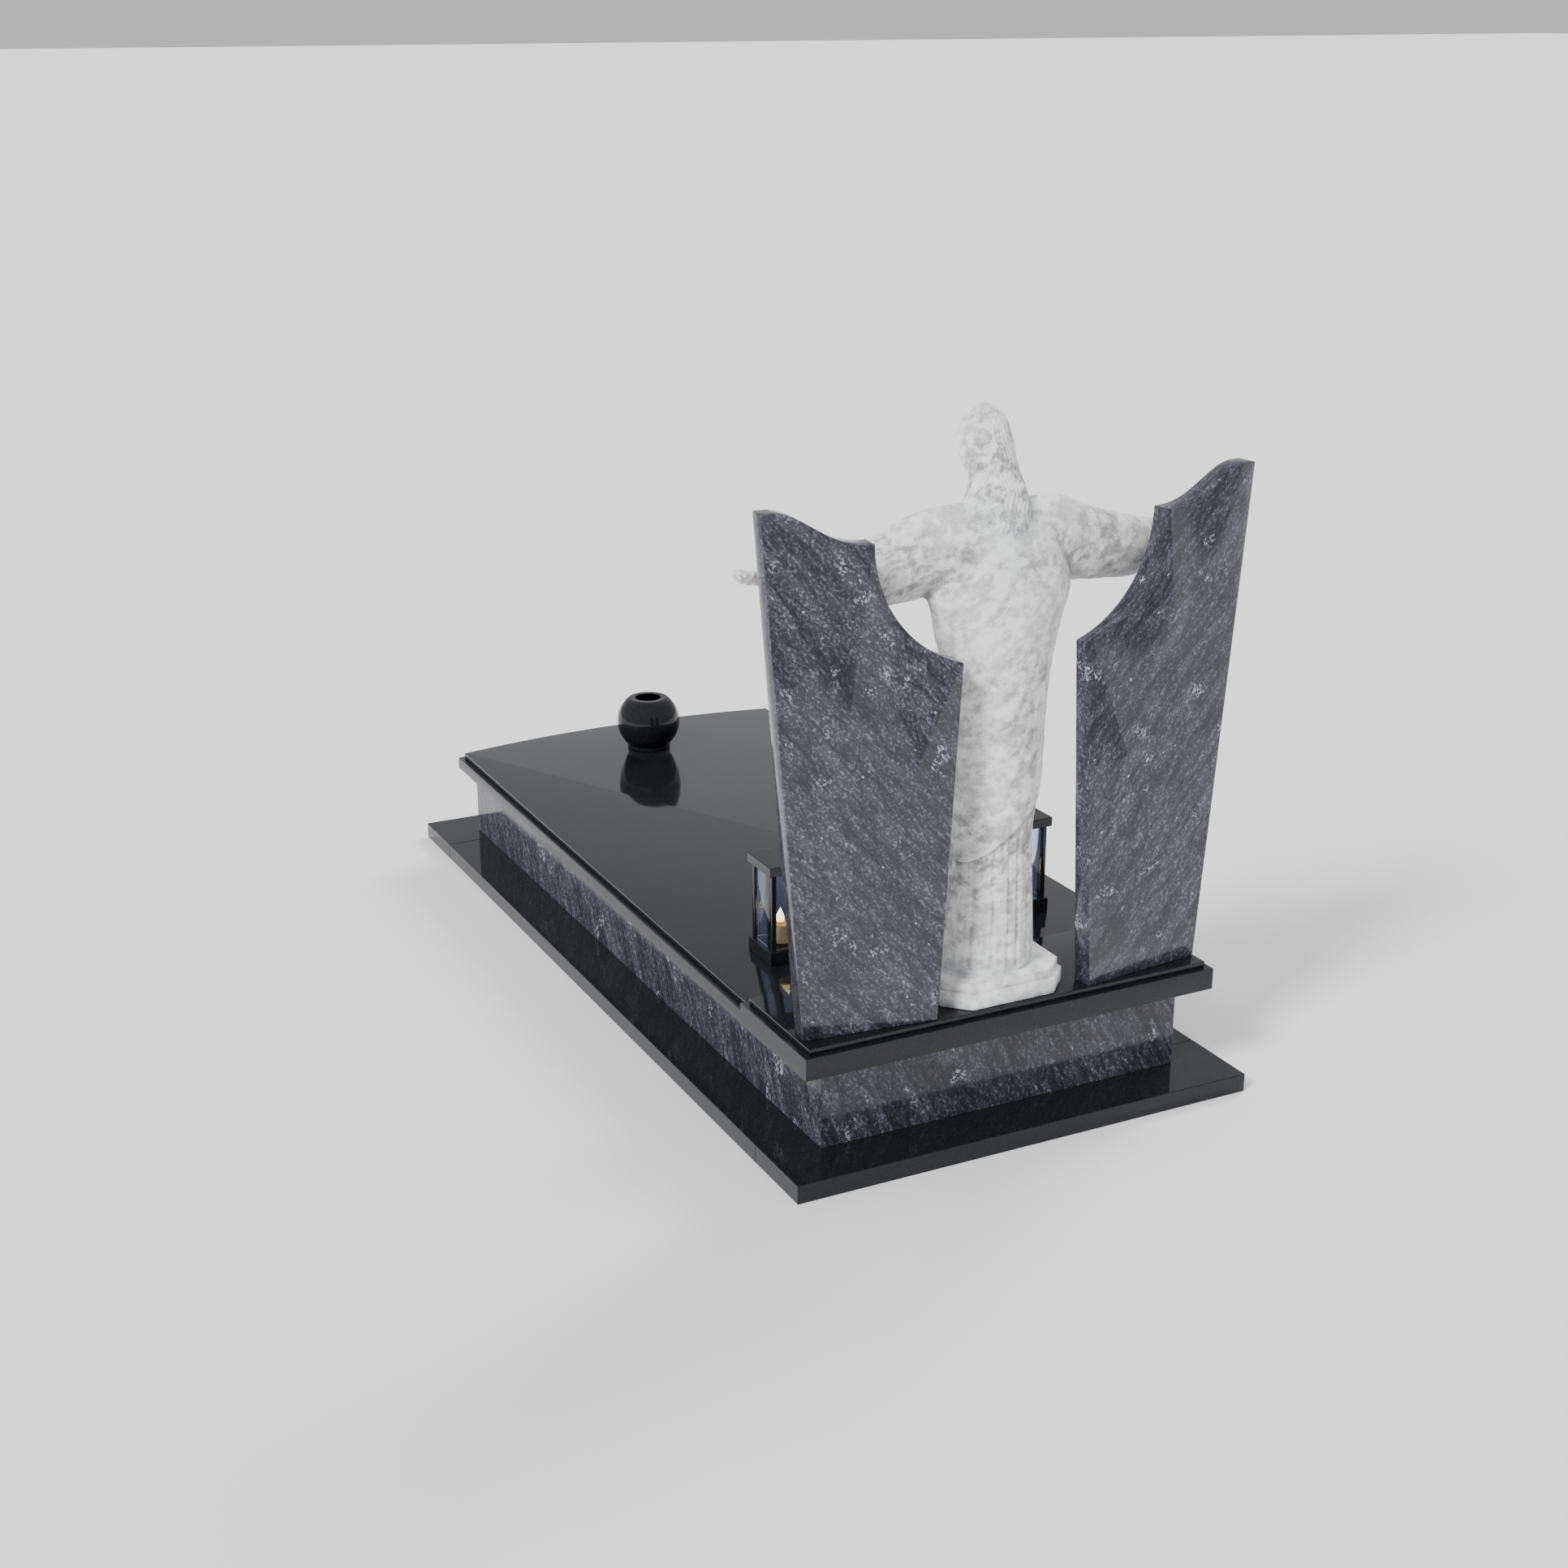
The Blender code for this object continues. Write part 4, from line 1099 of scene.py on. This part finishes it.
def garment(points):
    s = figure["height"]
    body, angle = upright(points, robe)
    arm, y, up, out = sleeveShape(points)
    side = np.sign(points[:, 0])
    level = points[:, 2] / s
    onCloth = 1 - stepUp(out, 0.350, 0.372) * 0.6
    lift = sleeveLift(y, up, out, side) * onCloth * stepUp(out, 0.075, 0.125)
    armOuter = arm - lift * (1 - 0.55 * stepUp(out, 0.33, 0.372))
    armOuter = np.maximum(armOuter, 0.03 * s - np.abs(points[:, 0]))
    armOuter = np.maximum(armOuter, np.abs(points[:, 0]) - cloth["cuffOut"] * s)
    body = body - robeLift(points, angle)
    body = np.maximum(body, 0.036 * s - points[:, 2])
    whole = blend(body, armOuter, figure["softJoin"])
    collar = points[:, 2] - 0.842 * s - 0.62 * (points[:, 1] - 0.006 * s)
    whole = -blend(-whole, -0.85 * collar, 0.004)
    throat = ball(points, (0, -0.004 * s, 0.852 * s), (0.034 * s, 0.040 * s, 0.030 * s))
    whole = cut(whole, throat, 0.003)
    start = (cloth["cuffOut"] - cloth["cuffDepth"]) * s
    hollow = np.maximum(arm + cloth["cuffWall"] - lift * 0.35, start - np.abs(points[:, 0]))
    hollow = np.maximum(hollow, 0.5 - level)
    return cut(whole, hollow, 0.003)


# The hand, in millimetres from the wrist: out along the arm, across to the thumb, off the palm
hand = {
    "wrist": (0.366, -0.009, 0.756),
    "turn": 35.0,
    "bones": [
        ((-8, -3, 0), (14, -5, 0), 11.0, 9.0, 7),
        ((-8, 3, 0), (14, 5, 0), 11.0, 9.0, 7),
        ((12, -6.5, 0), (54, -14.5, 0.8), 9.0, 7.6, 4),
        ((12, -2.2, 0), (54, -5.0, 0.8), 9.0, 7.6, 4),
        ((12, 2.2, 0), (54, 5.3, 0.8), 9.0, 7.6, 4),
        ((12, 6.5, 0), (54, 15.5, 0.8), 9.0, 7.6, 4),
    ],
    "pads": [((26, 13, 3.6), (19, 9.5, 8.2), 5), ((25, -12.5, 3.2), (21, 8.0, 7.2), 5)],
    "fingerRoot": 54.0,
    "joints": (0.46, 0.30, 0.24),
    "fingers": [                      # place across, length, radius, splay and curl
        (15.4, 45, 6.7, 0.10, 9),
        (5.3, 50, 6.9, 0.03, 12),
        (-4.9, 47, 6.6, -0.05, 15),
        (-14.4, 38, 5.9, -0.13, 17),
    ],
    "thumb": [(16, 13, 3), (34, 22.5, 6.5), (49, 27, 7.5), (60, 28.5, 6.0)],
    "thumbRadii": [8.5, 7.2, 6.4, 5.3],
}


def fingerField(p, across, length, radius, splay, curl):
    stop = np.array((hand["fingerRoot"], across, 0.8))
    stops = [stop]
    bend = math.radians(curl * 0.45)
    for share in hand["joints"]:
        ahead = np.array((math.cos(bend), splay, math.sin(bend)))
        stop = stop + ahead / np.linalg.norm(ahead) * length * share
        stops.append(stop)
        bend += math.radians(curl)
    radii = [radius, radius * 0.93, radius * 0.86, radius * 0.74]
    size = (4.6, radius * 0.90, radius * 0.86)
    knuckles = [(place - (0, 0, 1.2), size, 2.0) for place in stops[1:3]]
    return addBalls(chain(p, stops, radii, 1.2), p, knuckles)


def handField(points):
    s = figure["height"]
    place = np.array(hand["wrist"]) * s
    out = np.abs(points[:, 0]) - place[0]
    y = points[:, 1] - place[1]
    z = points[:, 2] - place[2]
    turn = math.radians(hand["turn"])
    across = y * math.cos(turn) + z * math.sin(turn)
    off = z * math.cos(turn) - y * math.sin(turn)
    p = np.stack([out, across, off], axis=1) * 1000
    body = addLimbs(limb(p, (-78, 0, 0), (-6, 0, 0), 17.5, 12.0), p, hand["bones"])
    body = addBalls(body, p, hand["pads"])
    body = cut(body, ball(p, (39, 0.5, 16.5), (17, 11, 9.5)), 6)
    for finger in hand["fingers"]:
        body = blend(body, fingerField(p, *finger), 2.2)
    return blend(body, chain(p, hand["thumb"], hand["thumbRadii"], 2.0), 4.0) / 1000


# The foot, in millimetres from the sole: bones, then toes as two places and a radius
foot = {
    "bones": [((26, -45, 9), (29, -84, 7), 14, 9.5, 8), ((38, -45, 8), (46, -76, 5.5), 12, 8.0, 8)],
    "toes": [
        (28.0, -88, 26.6, -101, 7.2),
        (36.2, -87, 36.0, -98, 5.6),
        (43.0, -83, 43.6, -93, 5.1),
        (48.8, -78, 50.0, -87, 4.7),
        (53.6, -71, 55.4, -79, 4.3),
    ],
}


def footField(points):
    sole = figure["soleLevel"] * figure["height"]
    p = np.stack([np.abs(points[:, 0]), points[:, 1], points[:, 2] - sole], axis=1) * 1000
    body = addLimbs(limb(p, (29, -33, 16), (37, -78, 8), 21, 12), p, foot["bones"])
    for x0, y0, x1, y1, r in foot["toes"]:
        body = blend(body, limb(p, (x0, y0, r + 0.8), (x1, y1, r - 0.6), r * 0.92, r), 2.2)
    return np.maximum(body, -6 - p[:, 2]) / 1000


# The head, in millimetres from the middle of the bowed head, with the face towards minus Y
head = {
    "centre": (0.0, -0.027, 0.9385),
    "bow": 25.0,
    "skull": [
        ((0, -13, 18), (33, 32, 28), 8),
        ((0, -14, -14), (30, 30.5, 36), 7),
        ((0, -20, -38), (24, 24, 22), 7),
        ((0, -39, -53), (9.5, 8.0, 8.0), 5),
    ],
    "cheek": [((21.5, -31.5, -13), (9.5, 10.5, 8.0), 5)],
    "brow": [(5.0, -43.2, 6.8), (12, -42.6, 9.2), (20, -38.6, 9.8), (28, -30.5, 6.0)],
    "browRadii": [1.4, 1.9, 1.8, 1.0],
    "moustache": [(1.8, -50.2, -29.6), (8.5, -49.0, -31.6), (14.5, -44.0, -37.0), (17.5, -39.0, -46.0)],
    "moustacheRadii": [2.2, 2.9, 2.7, 1.8],
    "lock": [(8, -27, 46), (23, -27.5, 34), (33, -21.5, 12), (37.5, -17, -14), (37, -11, -38), (32, -8, -64)],
    "lockRadii": [3.5, 6.0, 8.5, 10, 9.5, 5.5],
}


def strands(p, width, wave, phase):
    # Hair falls to both sides from a parting along the middle.
    fan = np.arctan2(p[:, 1] - 8, np.abs(p[:, 0]) + 13)
    along = fan * 46 / width + wave * np.sin(p[:, 2] / 8.5 + phase + 1.5 * fan)
    return ridge(along, 0.7)


def eyeField(face, m):
    # Lowered lids over round eyes, under a clear brow.
    across, depth, up = m.T
    face = blend(face, limb(m, (4.5, -40.0, 8.5), (24, -33.0, 8.5), 4.6, 4.0), 6)
    face = cut(face, ball(m, (15.5, -49.0, -1.2), (11.0, 10.5, 7.8)), 3)
    face = cut(face, ball(m, (6.5, -46.5, -1.5), (4.0, 5.5, 5.5)), 3)
    lid = ball(m, (16, -33.4, -1.4), (9.4, 9.2, 7.2))
    lash = up + 4.2 - 0.032 * (across - 16) ** 2
    lid = lid + 1.3 * bump(lash, 0.0, 0.75) * (np.abs(across - 16) < 9.5)
    lid = lid - 0.7 * bump(lash, 1.7, 1.1) * (np.abs(across - 16) < 9.5)
    face = blend(face, lid, 1.0)
    brow = chain(m, head["brow"], head["browRadii"], 2)
    brow = brow - 0.35 * ridge((up + 0.9 * across) / 2.9, 1.0)
    return blend(face, brow, 1.8)


def noseField(face, p, m):
    nose = chain(p, [(0, -41.5, 7), (0, -46.5, -4), (0, -54.5, -17.5)], [3.6, 3.3, 4.4], 3)
    nose = blend(nose, ball(p, (0, -56.4, -19.6), (4.9, 4.6, 4.6)), 2)
    nose = blend(nose, ball(m, (5.6, -50.0, -21.2), (3.5, 4.6, 3.8)), 1.6)
    face = blend(face, nose, 2.4)
    face = cut(face, ball(m, (2.9, -52.2, -25.4), (1.7, 2.8, 2.2)), 0.8)
    return cut(face, limb(m, (9.6, -49.5, -22.5), (15.5, -45.5, -33.5), 1.5, 1.2), 2.4)


def mouthField(face, p, m):
    across, depth, up = m.T
    face = blend(face, ball(p, (0, -37.5, -35), (15.5, 9.5, 11)), 5)
    face = blend(face, ball(m, (3.6, -46.8, -33.0), (6.8, 2.8, 2.2)), 0.9)
    face = blend(face, ball(p, (0, -46.4, -38.4), (8.0, 3.3, 2.6)), 0.9)
    line = bump(up + 35.5 + 0.012 * across**2, 0.0, 0.75) * (across < 11.5) * (depth < -38)
    return face + 1.5 * line


def beardField(face, p, m):
    # A short full beard with two soft tips, and a moustache.
    across, depth, up = m.T
    turn = np.arctan2(p[:, 0], -depth + 6)
    locks = ridge(turn * 8.2 + 0.55 * np.sin(up / 5.5 + 5 * turn), 0.7)
    fine = ridge(turn * 17 + 0.7 * np.sin(up / 4.2 + 2), 0.9)
    edge = -25 - 0.030 * (across - 14) ** 2 + 1.35 * np.maximum(across - 22, 0)
    grown = stepUp(edge - up, -0.6, 1.6) * (depth < 14) * (across > 6.5 - 0.4 * (up + 41))
    grown = np.maximum(grown, stepUp(-up, 43.5, 45.5) * (depth < 14))
    beard = face - grown * (3.0 + 1.1 * locks + 0.45 * fine)
    tips = ball(m, (6.8, -37.5, -59), (9.6, 10.0, 19.5))
    tips = blend(tips, ball(p, (0, -29, -51), (19, 16, 16)), 5)
    tips = cut(tips, limb(p, (0, -50, -66), (0, -40, -84), 1.2, 3.0), 3)
    beard = blend(beard, tips - 1.3 * locks - 0.5 * fine, 2.5)
    moustache = chain(m, head["moustache"], head["moustacheRadii"], 2)
    moustache = moustache - 0.6 * ridge((up + 0.4 * across) / 2.7, 0.9)
    return blend(beard, moustache, 1.0)


def hairField(points, p, m):
    # A cap with a parting, side locks that frame the face, and long hair down the back.
    s = figure["height"]
    across, depth, up = m.T
    cap = ball(p, (0, 4.5, 11.8), (42.5, 50.5, 51.0))
    window = ball(p, (0, -60, -13), (30.5, 40, 50))
    waves = 1.9 * strands(p, 8.0, 0.55, 0.0) + 0.75 * strands(p, 3.7, 0.9, 1.7)
    parting = bump(across, 0.0, 1.5) * (depth < 16) * (up > 8)
    cap = cut(cap - waves + 2.4 * parting + 1.2, window, 3.5)
    lock = chain(m, head["lock"], head["lockRadii"], 5)
    sway = across - 33 + 5.5 * np.sin(up / 9.5) + 0.25 * depth
    lock = lock - 1.9 * ridge(sway / 6.2, 0.7) - 0.7 * ridge(sway / 2.9 + 0.4 * np.sin(up / 6), 0.9)
    front = blend(cap, lock, 3)

    shell, angle = upright(points, backHair)
    level = points[:, 2] / s
    shell = np.maximum(shell, 0.812 * s - points[:, 2])
    shell = np.maximum(shell, points[:, 2] - 0.967 * s) * 1000
    flow = 1.9 * ridge(angle * 5.4 + 0.55 * np.sin(level * 118 + 2 * angle), 0.7)
    flow = flow + 0.75 * ridge(angle * 11.8 + 0.8 * np.sin(level * 150), 0.9)
    body, _ = upright(points, robe)
    width = (0.012 + 0.036 * stepUp(level, 0.775, 0.835)) * s
    side = np.abs(points[:, 0])
    cover = 0.014 * stepUp(level, 0.765, 0.835) * (1 - stepUp(side, 0.55 * width, 1.25 * width)) - 0.0015
    fall = np.maximum(body - cover, side - 1.35 * width)
    fall = np.maximum(fall, points[:, 2] - 0.862 * s)
    fall = np.maximum(fall, 0.002 - points[:, 1]) * 1000
    flow = flow * stepUp(np.sin(angle), -0.9, -0.3) * stepUp(level, 0.760, 0.790)
    shell = blend(shell, fall, 26) - flow + 0.8
    return blend(front, shell, 6)


def headField(points):
    s = figure["height"]
    place = np.array(head["centre"]) * s
    turn = math.radians(head["bow"])
    across, along = math.cos(turn), math.sin(turn)
    x = points[:, 0] - place[0]
    y = points[:, 1] - place[1]
    z = points[:, 2] - place[2]
    p = np.stack([x, y * across + z * along, z * across - y * along], axis=1) * 1000
    m = np.abs(p * (1, 0, 0)) + p * (0, 1, 1)

    face = addBalls(ball(p, (0, 3, 12), (38.5, 46, 48)), p, head["skull"])
    face = eyeField(addBalls(face, m, head["cheek"]), m)
    face = mouthField(noseField(face, p, m), p, m)
    neck = limb(p, (0, 6, -10), (0, -12, -100), 28, 31)
    chest = ball(points, (0, 0.002 * s, 0.795 * s), (0.058 * s, 0.050 * s, 0.040 * s)) * 1000
    skin = blend(face, blend(neck, chest, 10), 8)
    grown = blend(skin, beardField(face, p, m), 1.0)
    return blend(grown, hairField(points, p, m), 1.0) / 1000


plinth = {
    "half": 0.134,
    "top": 0.050,
    "lowerTop": 0.031,
    "inset": 0.006,
    "arris": 0.0022,
    "corner": 0.044,
}


def plinthMesh(place):
    # Two steps with cut corners.
    arris = plinth["arris"]
    inset = plinth["inset"]
    levels = lowerEdge(0, 0, arris) + upperEdge(0, plinth["lowerTop"], arris)
    levels += [(inset + 0.0008, plinth["lowerTop"]), (inset, plinth["lowerTop"] + 0.0010)]
    levels += upperEdge(inset, plinth["top"], arris)
    rings = []
    for gap, z in levels:
        half = plinth["half"] - gap
        edge = half - plinth["corner"]
        corners = [(half, -edge), (half, edge), (edge, half), (-edge, half)]
        corners += [(-half, edge), (-half, -edge), (-edge, -half), (edge, -half)]
        rings.append([(place.x + x, place.y + y, place.z + z) for x, y in corners])
    return ringBody("plinth", rings)


def joinMeshes(name, meshes):
    body = bmesh.new()
    for mesh in meshes:
        body.from_mesh(mesh)
    return meshOf(body, name)


hollows = {
    "fineSteps": 6,
    "fineDepth": 0.0011,
    "fineShare": 0.28,
    "broadSteps": 60,
    "broadDepth": 0.0034,
    "broadShare": 0.6,
}


def markHollows(mesh):
    # Keeps at each point how deep it lies below the smoothed surface, for the painted shade in the stone's
    # recesses and the painted highlight on its raised parts.
    count = len(mesh.vertices)
    points = np.empty(count * 3, np.float32)
    normals = np.empty(count * 3, np.float32)
    edges = np.empty(len(mesh.edges) * 2, np.int32)
    mesh.vertices.foreach_get("co", points)
    mesh.vertices.foreach_get("normal", normals)
    mesh.edges.foreach_get("vertices", edges)
    points = points.reshape(-1, 3).astype(float)
    normals = normals.reshape(-1, 3)
    first, second = edges.reshape(-1, 2).T
    degree = np.maximum(np.bincount(first, minlength=count) + np.bincount(second, minlength=count), 1)

    def spread(values):
        columns = []
        for column in values.T:
            total = np.bincount(first, column[second], count) + np.bincount(second, column[first], count)
            columns.append(total / degree)
        return np.stack(columns, axis=1)

    smooth = points.copy()
    hollow = 0.0
    for step in range(1, hollows["broadSteps"] + 1):
        smooth = spread(smooth)
        for kind in ("fine", "broad"):
            if step == hollows[kind + "Steps"]:
                depth = np.einsum("ij,ij->i", smooth - points, normals)
                share = np.clip(depth / hollows[kind + "Depth"], -1.2, 1.2)
                hollow = hollow + share * hollows[kind + "Share"]
    hollow = spread(hollow[:, None])[:, 0]
    layer = mesh.attributes.new("hollow", "FLOAT", "POINT")
    layer.data.foreach_set("value", hollow.astype(np.float32))


def makeStatue(paint):
    s = figure["height"]
    low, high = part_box("christ_statue")
    stand = Vector(((low.x + high.x) / 2, high.y - plinth["half"], low.z))
    edge = cloth["cuffOut"] * s + 0.004
    fields = {
        "garment": (garment, (-edge, -0.13, 0.034 * s), (edge, 0.15, 0.87 * s)),
        "head": (headField, (-0.07, -0.16, 0.745 * s), (0.07, 0.12, 1.005 * s)),
        "hand": (handField, (0.30 * s, -0.065, 0.68 * s), (0.520, 0.055, 0.81 * s)),
        "foot": (footField, (-0.07, -0.12, 0.035), (0.07, -0.01, 0.12)),
    }
    parts = {name: surfaceOf(*fields[name], figure[name + "Step"], name) for name in fields}
    mirrored = parts["hand"].copy()
    mirrored.transform(Matrix.Diagonal((-1.0, 1.0, 1.0, 1.0)))
    mirrored.flip_normals()
    mesh = joinMeshes("statue", [parts["garment"], parts["head"], parts["hand"], mirrored, parts["foot"]])
    zero = stand.z + plinth["top"] - figure["soleLevel"] * s
    mesh.transform(Matrix.Translation((stand.x, stand.y, zero)))
    mesh = joinMeshes("statue", [mesh, plinthMesh(stand)])
    helper = link(bpy.data.objects.new("helper", mesh))
    thin = helper.modifiers.new("thin", "DECIMATE")
    thin.ratio = min(1.0, figure["triangles"] / sum(len(f.vertices) - 2 for f in mesh.polygons))
    mesh = bakeModifiers(helper)
    mesh.validate()
    markHollows(mesh)
    asPiece("christStatue", mesh, paint, ["christ_statue"], 60)
    print("statue triangles", sum(len(f.vertices) - 2 for f in mesh.polygons))


def main():
    makeCamera()
    makeSky()
    for name in ("key", "front"):
        makeLight(name + "Light", *(studio[name + word] for word in ("Towards", "Spread", "Strength")))
    half = studio["floorHalf"]
    corners = [(-half, -half, 0), (half, -half, 0), (half, half, 0), (-half, half, 0)]
    mesh = meshFrom("studioFloor", corners, [(0, 1, 2, 3)])
    mesh.materials.append(makeFloorPaint())
    floor = link(bpy.data.objects.new("studioFloor", mesh))
    print("camera, light and floor made")

    black = makeBlackGranite()
    marble = makeMarble()
    left = makeBlueGranite("blueGraniteLeft", (0, 50, 0))
    right = makeBlueGranite("blueGraniteRight", (0, -50, 0))
    along = makeBlueGranite("blueGraniteWall", (62, 0, 90))
    across = makeBlueGranite("blueGraniteCross", (0, 62, 0))
    paints = {"black": black, "glass": makeGlass(), "wax": makeWax(), "wick": makeWick()}
    print("materials made")

    makeBase(black)
    makeWalls({"head": across, "foot": across, "left": along, "right": along})
    makeHeadSlab(black)
    makeCoverSlab(black)
    makeTablets({"left": left, "right": right})
    makeVase(black)
    for side in ("left", "right"):
        makeLantern(side, paints)
    print("stonework made")
    makeStatue(marble)
    print("statue made")


main()
